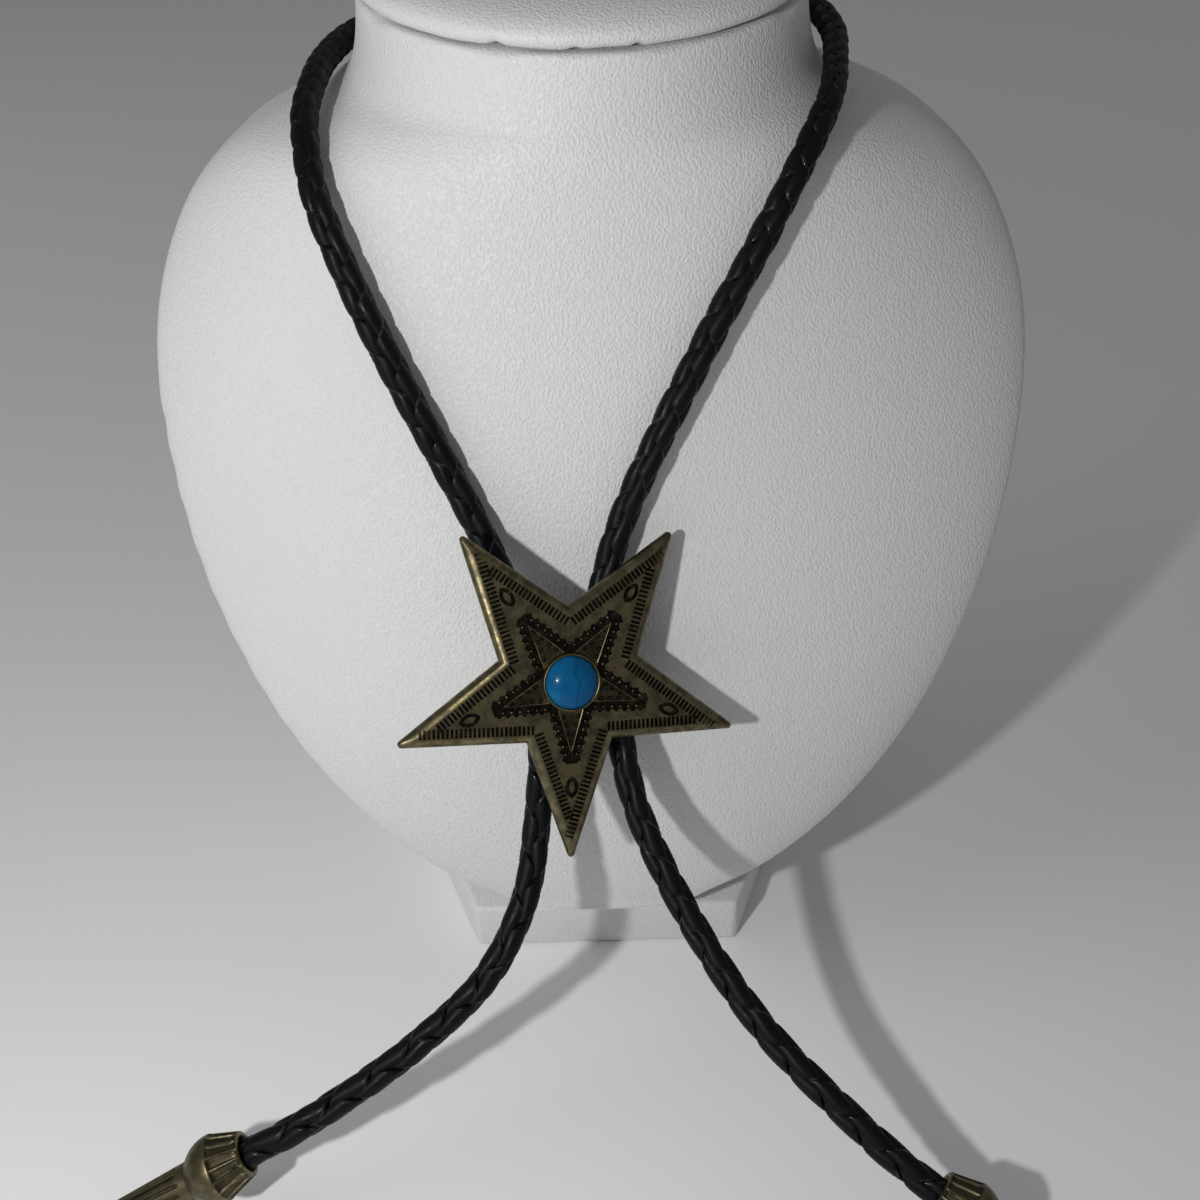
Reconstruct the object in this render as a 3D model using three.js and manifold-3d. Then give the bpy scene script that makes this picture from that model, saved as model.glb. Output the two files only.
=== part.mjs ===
// Star bolo tie on a neck bust.
// A braided leather cord runs round the neck of a covered bust, through the clip of a cast star slide,
// and ends in two cone tips that stand slanting on their ends in front of the foot.
// Units are millimetres, +Z is up, the bust faces -Y, and the origin is the middle of the foot's underside.

import * as THREE from 'three';
import { mergeVertices } from 'three/addons/utils/BufferGeometryUtils.js';
import Module from 'manifold-3d';

const wasm = await Module();
wasm.setup();

const degrees = Math.PI / 180;
const weldDistance = 1e-4;

// Driving dimensions: clearance between pieces that touch
const seatGap = 0.3;

// Driving dimensions: bust
// One row for each level section, from the underside to the seam under the cap.
// front, side and back are the Y of the foremost point, of the widest points and of the back.
// frontPower 1 is round and 2 a flat wedge; backPower 2 is round and 5 a flat board.
const bustSections = [
  { height: 11.3, half: 14, front: -37, side: -22, back: 0, frontPower: 1.2, backPower: 4, lean: 0 },
  { height: 16.5, half: 13.5, front: -46, side: -44, back: 4, frontPower: 1.4, backPower: 4, lean: 0 },
  { height: 19.5, half: 21, front: -46.8, side: -44, back: 6, frontPower: 1.5, backPower: 4.5, lean: 0 },
  { height: 26, half: 34.5, front: -47.3, side: -41.5, back: 9, frontPower: 1.5, backPower: 5, lean: 0 },
  { height: 38, half: 49.5, front: -47, side: -36.4, back: 14, frontPower: 1.5, backPower: 5, lean: 0 },
  { height: 56, half: 64, front: -44, side: -28.3, back: 21.5, frontPower: 1.5, backPower: 5, lean: 0 },
  { height: 80, half: 75.3, front: -37, side: -17.5, back: 31.5, frontPower: 1.5, backPower: 5, lean: 0 },
  { height: 105, half: 80.6, front: -29.5, side: -6.3, back: 42, frontPower: 1.5, backPower: 5, lean: 0 },
  { height: 125, half: 80.3, front: -24.5, side: 2.7, back: 51, frontPower: 1.45, backPower: 5, lean: 0 },
  { height: 142, half: 74.1, front: -21, side: 10.4, back: 58.5, frontPower: 1.35, backPower: 4.5, lean: 0 },
  { height: 152.5, half: 64.6, front: -19.5, side: 15.1, back: 62.5, frontPower: 1.2, backPower: 4, lean: 0 },
  { height: 158.5, half: 52, front: -18.6, side: 18, back: 61.5, frontPower: 1.1, backPower: 3, lean: 1 },
  { height: 162.5, half: 43.2, front: -18, side: 20, back: 57.5, frontPower: 1, backPower: 2.3, lean: 3 },
  { height: 168.5, half: 40.4, front: -17.6, side: 21.5, back: 56.2, frontPower: 1, backPower: 2, lean: 5.5 },
  { height: 177, half: 39.4, front: -17.5, side: 22, back: 56, frontPower: 1, backPower: 2, lean: 8 },
];
const bustRingsPerRow = 3;
const bustRingPoints = 36;

// Padded cap on the neck: rise above the seam, and distance in from the neck's wall
const capSections = [
  { rise: 0.3, inset: 1.6 },
  { rise: 0.9, inset: 0 },
  { rise: 2.2, inset: -0.7 },
  { rise: 3.8, inset: 0 },
  { rise: 5.2, inset: 2.4 },
  { rise: 6.3, inset: 8 },
  { rise: 7.1, inset: 17 },
  { rise: 7.6, inset: 27 },
];

// Foot plate under the bust, narrow in front and wide behind
const footHeight = 11;
const footBevel = 0.8;
const footFrontY = -40;
const footBackY = 44;
const footFrontHalf = 27;
const footBackHalf = 60;

// Driving dimensions: star slide, with its place and its turns in degrees
const starCentre = new THREE.Vector3(-4.9, -52.4, 79);
const starLean = 27;
const starTurn = 16.5;
const starRoll = -8.7;
const starArms = 5;
const starTip = 31.9;
const starNotch = 12.7;
const starTipRounding = 0.6;
const starThickness = 2.1;

// Edge of the star from back to front: depth behind the face, and distance in from the outline
const starEdge = [
  { behind: starThickness, inset: 0.4 },
  { behind: 1.8, inset: 0 },
  { behind: 1.1, inset: 0 },
  { behind: 0.35, inset: 0.5 },
  { behind: 0, inset: 1.3 },
];

// Stamped border: short slots square to each edge, in a long row and a short row on each arm
const slotPitch = 0.75;
const slotWidth = 0.45;
const slotDepth = 0.38;
const slotOuterInset = 1.5;
const slotInnerInset = 3.1;
const slotRows = [
  { side: 1, start: 4.7 },
  { side: -1, start: 8.3 },
];
const slotEndPastNotch = 0.85;

// Pointed oval on each arm: a groove round a low lens
const ovalFromCentre = 18.2;
const ovalLength = 3.9;
const ovalWidth = 2.3;
const ovalLensLength = 2.1;
const ovalLensWidth = 1;
const ovalDepth = 0.35;

// Inner star: a sunk band with beads along its outer edge, round a field on each arm with small round dimples
const innerTip = 14.1;
const innerTipHalf = 1;
const innerNotch = 6.2;
const innerDepth = 0.35;
const fieldInset = 1.5;
const beadFoot = 0.44;
const beadCrown = 0.24;
const beadHeight = 0.36;
const beadSides = 6;
const borderBeads = { inset: 0.45, first: 0.7, pitch: 1.45, count: 6 };
const dimpleRadius = 0.4;
const dimpleDepth = 0.2;
const fieldDimples = [
  { along: 10.6, across: 0 },
  { along: 8.95, across: 0.5 },
  { along: 8.95, across: -0.5 },
  { along: 7.4, across: 0.88 },
  { along: 7.4, across: -0.88 },
  { along: 6, across: 1.3 },
  { along: 6, across: -1.3 },
];

// Setting and stone
const bezelOuter = 5.15;
const bezelWall = 0.5;
const bezelRise = 1.2;
const stoneRadius = 4.3;
const stoneFoot = 0.5;
const stoneRise = 3.2;
const stoneRings = 6;
const roundSegments = 24;

// Clip behind the star: two sleeves on a plate, one for each run of the cord
const clipMiddle = 1.6;
const clipSpacing = 13.8;
const clipHeight = 14;
const clipWall = 0.9;
const clipSegments = 16;

// Driving dimensions: cord and tips
const cordDiameter = 5.5;
const cordSides = 10;
const cordSteps = 80;
const cordClearance = 0.4;
const cordInTip = 8;
const tipBore = 9;
const tipSlope = 19.3;
const tipMouths = {
  left: { at: new THREE.Vector3(-61.7, -96, 13.98), heading: -164.5 },
  right: { at: new THREE.Vector3(52.8, -106.2, 13.98), heading: -35 },
};

// Outside of a tip from its mouth to its end: distance from the mouth, and radius
const tipProfile = [
  { along: 0, radius: 3.7 },
  { along: 0.4, radius: 4 },
  { along: 4.9, radius: 5.6 },
  { along: 5.3, radius: 5.75 },
  { along: 6.7, radius: 5.58 },
  { along: 8.1, radius: 5.03 },
  { along: 9.3, radius: 4.15 },
  { along: 10.1, radius: 3.35 },
  { along: 36, radius: 1.9 },
  { along: 37.4, radius: 1.4 },
  { along: 38, radius: 0 },
];
const tipSegments = 24;
const fluteCount = 16;
const fluteLength = 3.6;
const fluteWidth = 1;
const fluteDepth = 0.35;
const grooveCount = 8;
const grooveStart = 12;
const grooveEnd = 33;
const grooveWidth = 0.5;
const grooveDepth = 0.25;

// Route of the cord between the tips and the clip: the left hanging end, the loop round the neck, the right
const leftEndRoute = [
  [-46.3, -90.6, 19.7],
  [-32.8, -84.1, 26],
  [-20.7, -76.7, 34.3],
  [-14, -67.9, 43.8],
  [-11.6, -59.4, 54],
];
const neckRoute = [
  [-19.5, -34.5, 97],
  [-33, -24.6, 124],
  [-39.7, -19.6, 138.9],
  [-44.4, -13.7, 151.1],
  [-46.4, -3.7, 159.5],
  [-46.4, 7.8, 163.2],
  [-45.7, 22, 165],
  [-42.5, 36.4, 166.2],
  [-33.3, 49.4, 167.8],
  [-17, 57.6, 169.2],
  [0, 60, 169.8],
  [17, 57.6, 170.2],
  [33, 49, 170.2],
  [41.8, 36, 169.2],
  [44.4, 22, 167.2],
  [43, 8, 164.8],
  [40.2, -5.5, 161.9],
  [35.1, -15.7, 155.7],
  [27.9, -21.5, 143.6],
  [18.8, -26.5, 128],
  [3.9, -34.9, 98],
];
const rightEndRoute = [
  [6, -57.6, 54.4],
  [15.3, -71.5, 39.5],
  [26.5, -84.9, 28.5],
  [39, -96, 20.8],
];

function toSolid(geometry) {
  const plain = geometry.clone();
  plain.deleteAttribute('normal');
  plain.deleteAttribute('uv');
  const merged = mergeVertices(plain, weldDistance);
  const vertProperties = new Float32Array(merged.attributes.position.array);
  const triVerts = new Uint32Array(merged.index.array);
  return new wasm.Manifold(new wasm.Mesh({ numProp: 3, vertProperties, triVerts }));
}

function fromSolid(solid) {
  const mesh = solid.getMesh();
  const geometry = new THREE.BufferGeometry();
  geometry.setAttribute('position', new THREE.BufferAttribute(mesh.vertProperties, 3));
  geometry.setIndex(new THREE.BufferAttribute(mesh.triVerts, 1));
  geometry.computeVertexNormals();
  return geometry;
}

// A closed skin through rings of equal point count, each anticlockwise seen from above
function loft(rings) {
  const count = rings[0].length;
  const points = rings.flat();
  const faces = [];
  for (let level = 0; level + 1 < rings.length; level += 1) {
    for (let i = 0; i < count; i += 1) {
      const a = level * count + i;
      const b = level * count + ((i + 1) % count);
      faces.push(a, b, b + count, a, b + count, a + count);
    }
  }
  const lid = (ring) => THREE.ShapeUtils.triangulateShape(ring.map((p) => new THREE.Vector2(p.x, p.y)), []);
  const lastStart = points.length - count;
  for (const [a, b, c] of lid(rings[0])) {
    faces.push(c, b, a);
  }
  for (const [a, b, c] of lid(rings[rings.length - 1])) {
    faces.push(lastStart + a, lastStart + b, lastStart + c);
  }
  const geometry = new THREE.BufferGeometry().setFromPoints(points);
  geometry.setIndex(faces);
  geometry.computeVertexNormals();
  return geometry;
}

// Straight prism over a flat outline, from one height to another
function prism(outline, low, high) {
  const levels = [low, high];
  return loft(levels.map((z) => outline.map((p) => new THREE.Vector3(p.x, p.y, z))));
}

// A turned solid on the Z axis from rows of distance along it and radius
function turned(rows, segments) {
  const profile = rows.map((row) => new THREE.Vector2(row.radius, row.along));
  return new THREE.LatheGeometry(profile, segments).rotateX(90 * degrees);
}

// Bust
// Smooth values between the rows of a table, for every column
function between(rows, position) {
  const index = Math.min(Math.floor(position), rows.length - 2);
  const t = position - index;
  const pick = (i) => rows[Math.max(0, Math.min(rows.length - 1, i))];
  const [p0, p1, p2, p3] = [pick(index - 1), pick(index), pick(index + 1), pick(index + 2)];
  const blended = {};
  for (const key of Object.keys(p1)) {
    const linear = 0.5 * (p2[key] - p0[key]);
    const square = p0[key] - 2.5 * p1[key] + 2 * p2[key] - 0.5 * p3[key];
    const cube = 0.5 * (p3[key] - p0[key]) + 1.5 * (p1[key] - p2[key]);
    blended[key] = p1[key] + t * (linear + t * (square + t * cube));
  }
  return blended;
}

function bustRing(row, inset = 0, rise = 0) {
  const ring = [];
  for (let i = 0; i < bustRingPoints; i += 1) {
    const angle = (2 * Math.PI * i) / bustRingPoints;
    const across = Math.sin(angle);
    const along = Math.cos(angle);
    const inFront = along > 0;
    const depth = inFront ? row.front + inset - row.side : row.back - inset - row.side;
    const power = inFront ? row.frontPower : 2 / row.backPower;
    const reach = inFront ? Math.abs(across) : Math.abs(across) ** power;
    const fromSide = depth * Math.abs(along) ** power;
    const x = Math.sign(across) * (row.half - inset) * reach;
    const z = row.height + rise + fromSide * Math.tan(row.lean * degrees);
    ring.push(new THREE.Vector3(x, row.side + fromSide, z));
  }
  return ring;
}

function makeBust() {
  const rings = [];
  const last = bustSections.length - 1;
  for (let step = 0; step <= last * bustRingsPerRow; step += 1) {
    rings.push(bustRing(between(bustSections, step / bustRingsPerRow)));
  }
  return loft(rings);
}

function makeCap() {
  const neckTop = bustSections[bustSections.length - 1];
  return loft(capSections.map((row) => bustRing(neckTop, row.inset, row.rise)));
}

function makeFoot() {
  const plan = new THREE.Shape();
  plan.moveTo(-footFrontHalf + footBevel, footFrontY + footBevel);
  plan.lineTo(footFrontHalf - footBevel, footFrontY + footBevel);
  plan.lineTo(footBackHalf - footBevel, footBackY - footBevel);
  plan.lineTo(-footBackHalf + footBevel, footBackY - footBevel);
  plan.closePath();
  const bevel = { bevelSize: footBevel, bevelThickness: footBevel, bevelSegments: 2 };
  const foot = new THREE.ExtrudeGeometry(plan, { depth: footHeight - 2 * footBevel, ...bevel });
  return foot.translate(0, 0, footBevel);
}

// Star slide, modelled flat: its face at Z 0, one arm pointing to -Y
const armAngle = (arm) => (-90 + (360 / starArms) * arm) * degrees;
const halfArm = 180 / starArms;
const polar = (radius, angle) => new THREE.Vector2(radius * Math.cos(angle), radius * Math.sin(angle));
const notchAcross = starNotch * Math.sin(halfArm * degrees);
const notchAlong = starNotch * Math.cos(halfArm * degrees);
const tipHalfAngle = Math.atan2(notchAcross, starTip - notchAlong);
const edgeFromCentre = starTip * Math.sin(tipHalfAngle);
const edgeLength = Math.hypot(starTip - notchAlong, notchAcross);
const roundSteps = [-1, -1 / 3, 1 / 3, 1];

// Every edge lies equally far from the centre, so the outline moved in by a distance is a smaller star.
function starOutline(inset) {
  const scale = (edgeFromCentre - inset) / edgeFromCentre;
  const roundingCentre = starTip - starTipRounding / Math.sin(tipHalfAngle);
  const outline = [];
  for (let arm = 0; arm < starArms; arm += 1) {
    const axis = armAngle(arm);
    const centre = polar(roundingCentre, axis);
    for (const step of roundSteps) {
      const corner = polar(starTipRounding, axis + step * (90 * degrees - tipHalfAngle));
      outline.push(corner.add(centre).multiplyScalar(scale));
    }
    outline.push(polar(starNotch * scale, axis + halfArm * degrees));
  }
  return outline;
}

function starBlank() {
  const ringAt = (row) => starOutline(row.inset).map((p) => new THREE.Vector3(p.x, p.y, -row.behind));
  return toSolid(loft(starEdge.map(ringAt)));
}

// Puts a shape that was made on an arm along +X onto each arm in turn
function onArm(geometry, arm) {
  return toSolid(geometry.clone().rotateZ(armAngle(arm)));
}

// The border slots of one arm along +X
function slotShapes() {
  const shapes = [];
  const length = slotInnerInset - slotOuterInset;
  const inset = (slotInnerInset + slotOuterInset) / 2;
  for (const row of slotRows) {
    for (let s = row.start; s < edgeLength + slotEndPastNotch; s += slotPitch) {
      const slot = new THREE.BoxGeometry(slotWidth, length, 2 * slotDepth);
      slot.translate(-s, row.side * -inset, 0);
      slot.rotateZ(-row.side * tipHalfAngle);
      shapes.push(slot.translate(starTip, 0, 0));
    }
  }
  return shapes;
}

// A lens outline of two arcs, pointed at both ends along X
function lensOutline(length, width, steps = 5) {
  const sag = width / 2;
  const radius = (length * length) / (8 * sag) + sag / 2;
  const half = Math.asin(length / 2 / radius);
  const outline = [];
  for (const side of [1, -1]) {
    for (let i = 0; i < steps; i += 1) {
      const angle = -half + (2 * half * i) / steps;
      const x = radius * Math.sin(angle);
      const y = radius * Math.cos(angle) - radius + sag;
      outline.push(new THREE.Vector2(-side * x, side * y));
    }
  }
  return outline;
}

function ovalGrooveShape() {
  const outer = toSolid(prism(lensOutline(ovalLength, ovalWidth), -ovalDepth, ovalDepth));
  const lens = toSolid(prism(lensOutline(ovalLensLength, ovalLensWidth), -2 * ovalDepth, 2 * ovalDepth));
  return fromSolid(outer.subtract(lens)).translate(ovalFromCentre, 0, 0);
}

// Inner star
const innerNotchPoint = polar(innerNotch, halfArm * degrees);
const innerTipPoint = new THREE.Vector2(innerTip, innerTipHalf);
const innerEdge = innerTipPoint.clone().sub(innerNotchPoint);
const innerEdgeAngle = Math.atan2(innerEdge.y, innerEdge.x);

function innerOutline() {
  const outline = [];
  for (let arm = 0; arm < starArms; arm += 1) {
    const turn = (point) => point.rotateAround(new THREE.Vector2(), armAngle(arm));
    outline.push(turn(new THREE.Vector2(innerTip, -innerTipHalf)));
    outline.push(turn(innerTipPoint.clone()));
    outline.push(turn(innerNotchPoint.clone()));
  }
  return outline;
}

// A point beside the inner star's edge, measured along it from the notch and in from it
function besideInnerEdge(along, inset, side) {
  const x = innerNotchPoint.x + along * Math.cos(innerEdgeAngle) + inset * Math.sin(innerEdgeAngle);
  const y = innerNotchPoint.y + along * Math.sin(innerEdgeAngle) - inset * Math.cos(innerEdgeAngle);
  return new THREE.Vector2(x, side * y);
}

function beadShape(point) {
  const bead = new THREE.CylinderGeometry(beadCrown, beadFoot, 2 * beadHeight, beadSides);
  return bead.rotateX(90 * degrees).translate(point.x, point.y, -innerDepth);
}

// The raised field of one arm along +X, level with the face, from its point to inside the setting's wall
function fieldShape() {
  const base = besideInnerEdge(0, fieldInset, 1);
  const point = new THREE.Vector2(base.x - base.y / Math.tan(innerEdgeAngle), 0);
  const underSetting = new THREE.Vector2(bezelOuter - bezelWall / 2, 0);
  const outline = [point, base, underSetting, besideInnerEdge(0, fieldInset, -1)];
  return prism(outline, -2 * innerDepth, 0);
}

function dimpleShape({ along, across }) {
  const dimple = new THREE.CylinderGeometry(dimpleRadius, dimpleRadius, 2 * dimpleDepth, beadSides);
  return dimple.rotateX(90 * degrees).translate(along, across, 0);
}

// The raised work of one arm along +X
function innerShapes() {
  const shapes = [fieldShape()];
  for (const side of [1, -1]) {
    for (let i = 0; i < borderBeads.count; i += 1) {
      const along = borderBeads.first + i * borderBeads.pitch;
      shapes.push(beadShape(besideInnerEdge(along, borderBeads.inset, side)));
    }
  }
  return shapes;
}

function makeBezel() {
  const inner = bezelOuter - bezelWall;
  const foot = -innerDepth - seatGap;
  const rows = [
    { along: foot, radius: inner },
    { along: foot, radius: bezelOuter },
    { along: bezelRise - bezelWall, radius: bezelOuter },
    { along: bezelRise, radius: bezelOuter - bezelWall / 2 },
    { along: bezelRise - bezelWall / 2, radius: inner },
    { along: foot, radius: inner },
  ];
  return turned(rows, roundSegments);
}

function makeStar() {
  let solid = starBlank();
  solid = solid.subtract(toSolid(prism(innerOutline(), -innerDepth, starThickness)));
  const raised = innerShapes();
  const cuts = [...slotShapes(), ovalGrooveShape(), ...fieldDimples.map(dimpleShape)];
  for (let arm = 0; arm < starArms; arm += 1) {
    for (const shape of raised) {
      solid = solid.add(onArm(shape, arm));
    }
    for (const shape of cuts) {
      solid = solid.subtract(onArm(shape, arm));
    }
  }
  return fromSolid(solid.add(toSolid(makeBezel())));
}

function makeStone() {
  const rows = [{ along: 0, radius: 0 }, { along: 0, radius: stoneRadius }];
  for (let i = 0; i <= stoneRings; i += 1) {
    const angle = (90 * degrees * i) / stoneRings;
    const along = stoneFoot + (stoneRise - stoneFoot) * Math.sin(angle);
    rows.push({ along, radius: stoneRadius * Math.cos(angle) });
  }
  rows[rows.length - 1].radius = 0;
  return turned(rows, roundSegments);
}

// Clip: sleeves along Y behind the star
const sleeveBore = cordDiameter / 2 + cordClearance;
const sleeveOuter = sleeveBore + clipWall;
const clipFace = -starThickness - seatGap;
const sleeveDepth = clipFace - sleeveOuter;
const sleeveX = (side) => clipMiddle + (side * clipSpacing) / 2;

function makeClip() {
  const rod = (radius, length, side) => {
    const geometry = new THREE.CylinderGeometry(radius, radius, length, clipSegments);
    return toSolid(geometry.translate(sleeveX(side), 0, sleeveDepth));
  };
  const plate = new THREE.BoxGeometry(clipSpacing, clipHeight, 2 * clipWall);
  let clip = toSolid(plate.translate(clipMiddle, 0, clipFace - clipWall));
  for (const side of [-1, 1]) {
    clip = clip.add(rod(sleeveOuter, clipHeight, side));
  }
  for (const side of [-1, 1]) {
    clip = clip.subtract(rod(sleeveBore, 2 * clipHeight, side));
  }
  return fromSolid(clip);
}

// Tips, modelled upright: the mouth at Z 0 and the end above it
function makeTip() {
  const bore = cordDiameter / 2 + seatGap;
  const inside = [
    { along: tipBore, radius: 0 },
    { along: tipBore, radius: bore },
    { along: 0, radius: bore },
  ];
  let tip = toSolid(turned([...inside, ...tipProfile], tipSegments));
  const [, collarLow, collarHigh] = tipProfile;
  const collarAngle = Math.atan2(collarHigh.radius - collarLow.radius, collarHigh.along - collarLow.along);
  const collarRadius = (collarLow.radius + collarHigh.radius) / 2;
  const collarMiddle = (collarLow.along + collarHigh.along) / 2;
  const cone = tipProfile.slice(-4, -2);
  const coneAngle = Math.atan2(cone[1].radius - cone[0].radius, cone[1].along - cone[0].along);
  const grooveMiddle = (grooveStart + grooveEnd) / 2;
  const grooveRadius = cone[0].radius + (grooveMiddle - cone[0].along) * Math.tan(coneAngle);
  const rows = [
    { count: fluteCount, size: [2 * fluteDepth, fluteWidth, fluteLength], tilt: collarAngle,
      radius: collarRadius, along: collarMiddle },
    { count: grooveCount, size: [2 * grooveDepth, grooveWidth, grooveEnd - grooveStart], tilt: coneAngle,
      radius: grooveRadius, along: grooveMiddle },
  ];
  for (const row of rows) {
    for (let i = 0; i < row.count; i += 1) {
      const cutter = new THREE.BoxGeometry(...row.size).rotateY(row.tilt);
      cutter.translate(row.radius, 0, row.along).rotateZ(((360 * i) / row.count) * degrees);
      tip = tip.subtract(toSolid(cutter));
    }
  }
  return fromSolid(tip);
}

// Places
const slide = new THREE.Group();
slide.position.copy(starCentre);
slide.rotation.set((90 - starLean) * degrees, 0, starTurn * degrees, 'ZXY');
slide.updateMatrixWorld(true);

function channelPoint(side, along) {
  return new THREE.Vector3(sleeveX(side), along, sleeveDepth).applyMatrix4(slide.matrixWorld);
}

function tipAxis(mouth) {
  const level = Math.cos(tipSlope * degrees);
  const heading = mouth.heading * degrees;
  return new THREE.Vector3(
    level * Math.cos(heading), level * Math.sin(heading), -Math.sin(tipSlope * degrees));
}

function tipPoint(mouth, along) {
  return mouth.at.clone().addScaledVector(tipAxis(mouth), along);
}

function cordRoute() {
  const byHand = (rows) => rows.map((row) => new THREE.Vector3(...row));
  const reach = clipHeight / 2 + cordDiameter / 2;
  const channel = (side) => [-reach, 0, reach].map((along) => channelPoint(side, along));
  return [
    tipPoint(tipMouths.left, cordInTip),
    tipPoint(tipMouths.left, -cordInTip),
    ...byHand(leftEndRoute),
    ...channel(-1),
    ...byHand(neckRoute),
    ...channel(1).reverse(),
    ...byHand(rightEndRoute),
    tipPoint(tipMouths.right, -cordInTip),
    tipPoint(tipMouths.right, cordInTip),
  ];
}

function makeCord() {
  const section = new THREE.Shape();
  for (let i = 0; i < cordSides; i += 1) {
    const corner = polar(cordDiameter / 2, (2 * Math.PI * i) / cordSides);
    if (i === 0) {
      section.moveTo(corner.x, corner.y);
    } else {
      section.lineTo(corner.x, corner.y);
    }
  }
  section.closePath();
  const extrudePath = new THREE.CatmullRomCurve3(cordRoute());
  return new THREE.ExtrudeGeometry(section, { steps: cordSteps, bevelEnabled: false, extrudePath });
}

const finishes = {
  leatherette: { color: 0xd9d9d6, roughness: 0.62, metalness: 0 },
  antiqueBrass: { color: 0x6a5c36, roughness: 0.42, metalness: 1 },
  turquoise: { color: 0x0f6fa6, roughness: 0.12, metalness: 0 },
  blackLeather: { color: 0x14161a, roughness: 0.38, metalness: 0 },
};

const group = new THREE.Group();
group.add(slide);

function place(name, geometry, finish, parent = group) {
  const mesh = new THREE.Mesh(geometry, new THREE.MeshStandardMaterial(finishes[finish]));
  mesh.name = name;
  parent.add(mesh);
  return mesh;
}

place('bust_foot', makeFoot(), 'leatherette');
place('bust_body', makeBust(), 'leatherette');
place('neck_cap', makeCap(), 'leatherette');
const starParts = [
  place('star_plate', makeStar(), 'antiqueBrass', slide),
  place('turquoise_stone', makeStone(), 'turquoise', slide),
];
for (const part of starParts) {
  part.rotation.z = starRoll * degrees;
}
place('slide_clip', makeClip(), 'antiqueBrass', slide);
place('braid_cord', makeCord(), 'blackLeather');
for (const [side, mouth] of Object.entries(tipMouths)) {
  const tip = place(`tip_${side}`, makeTip(), 'antiqueBrass');
  tip.position.copy(mouth.at);
  tip.quaternion.setFromUnitVectors(new THREE.Vector3(0, 0, 1), tipAxis(mouth));
}

export default group;
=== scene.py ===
# Star bolo tie on a neck bust: the finish of every piece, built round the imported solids.
import math

import bmesh
import bpy
from mathutils import Matrix, Vector, noise


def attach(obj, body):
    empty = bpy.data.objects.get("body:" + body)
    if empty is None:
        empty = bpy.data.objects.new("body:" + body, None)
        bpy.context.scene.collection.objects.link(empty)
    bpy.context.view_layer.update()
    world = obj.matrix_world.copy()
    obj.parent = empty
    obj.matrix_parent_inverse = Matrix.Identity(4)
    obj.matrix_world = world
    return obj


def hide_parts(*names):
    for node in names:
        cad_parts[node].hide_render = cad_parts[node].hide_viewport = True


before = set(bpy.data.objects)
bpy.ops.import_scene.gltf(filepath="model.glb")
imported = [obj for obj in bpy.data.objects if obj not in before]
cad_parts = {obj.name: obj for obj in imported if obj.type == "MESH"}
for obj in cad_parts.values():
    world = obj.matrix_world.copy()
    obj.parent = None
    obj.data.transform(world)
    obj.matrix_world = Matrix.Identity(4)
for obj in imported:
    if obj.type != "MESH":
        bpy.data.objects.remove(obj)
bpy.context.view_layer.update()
mm = 0.001
print("frame loaded:", sorted(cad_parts))


# small helpers for meshes and objects
def addPiece(name, mesh):
    piece = bpy.data.objects.new(name, mesh)
    bpy.context.scene.collection.objects.link(piece)
    return piece


def finishPiece(piece, node):
    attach(piece, "root")
    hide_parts(node)
    print(piece.name, "done,", len(piece.data.polygons), "faces")


def meshFrom(name, verts, faces=(), edges=()):
    mesh = bpy.data.meshes.new(name)
    mesh.from_pydata([tuple(v) for v in verts], list(edges), list(faces))
    mesh.update()
    return mesh


def linesMesh(name, rows):
    verts = [p for row in rows for p in row]
    edges = []
    first = 0
    for row in rows:
        edges += [(first + i, first + i + 1) for i in range(len(row) - 1)]
        first += len(row)
    return meshFrom(name, verts, edges=edges)


def smoothByAngle(mesh, degrees=32):  # smooth faces, with a crease at every edge that turns more
    bm = bmesh.new()
    bm.from_mesh(mesh)
    for face in bm.faces:
        face.smooth = True
    for edge in bm.edges:
        edge.smooth = edge.calc_face_angle(math.pi) < math.radians(degrees)
    bm.to_mesh(mesh)
    bm.free()


def meshOf(bm, name):  # ends a bmesh and keeps what it holds as a plain mesh
    mesh = bpy.data.meshes.new(name)
    bm.to_mesh(mesh)
    bm.free()
    return mesh


def joinMeshes(name, meshes):
    bm = bmesh.new()
    for mesh in meshes:
        bm.from_mesh(mesh)
    return meshOf(bm, name)


def seenMesh(piece):  # the piece's mesh with the work of its modifiers in it
    bpy.context.view_layer.update()
    seen = piece.evaluated_get(bpy.context.evaluated_depsgraph_get())
    return bpy.data.meshes.new_from_object(seen)


def setAttribute(mesh, name, values, domain="POINT"):
    layer = mesh.attributes.new(name, "FLOAT", domain)
    layer.data.foreach_set("value", values)


def smoothStep(low, high, value):
    t = min(1.0, max(0.0, (value - low) / (high - low)))
    return t * t * (3 - 2 * t)


def bandFaces(low, high, count):  # four-sided faces between two rings, from the first point of each
    return [[low + i, low + (i + 1) % count, high + (i + 1) % count, high + i] for i in range(count)]


def prismFaces(start, count):
    ends = [[start + i for i in reversed(range(count))], [start + count + i for i in range(count)]]
    return ends + bandFaces(start, start + count, count)


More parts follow.
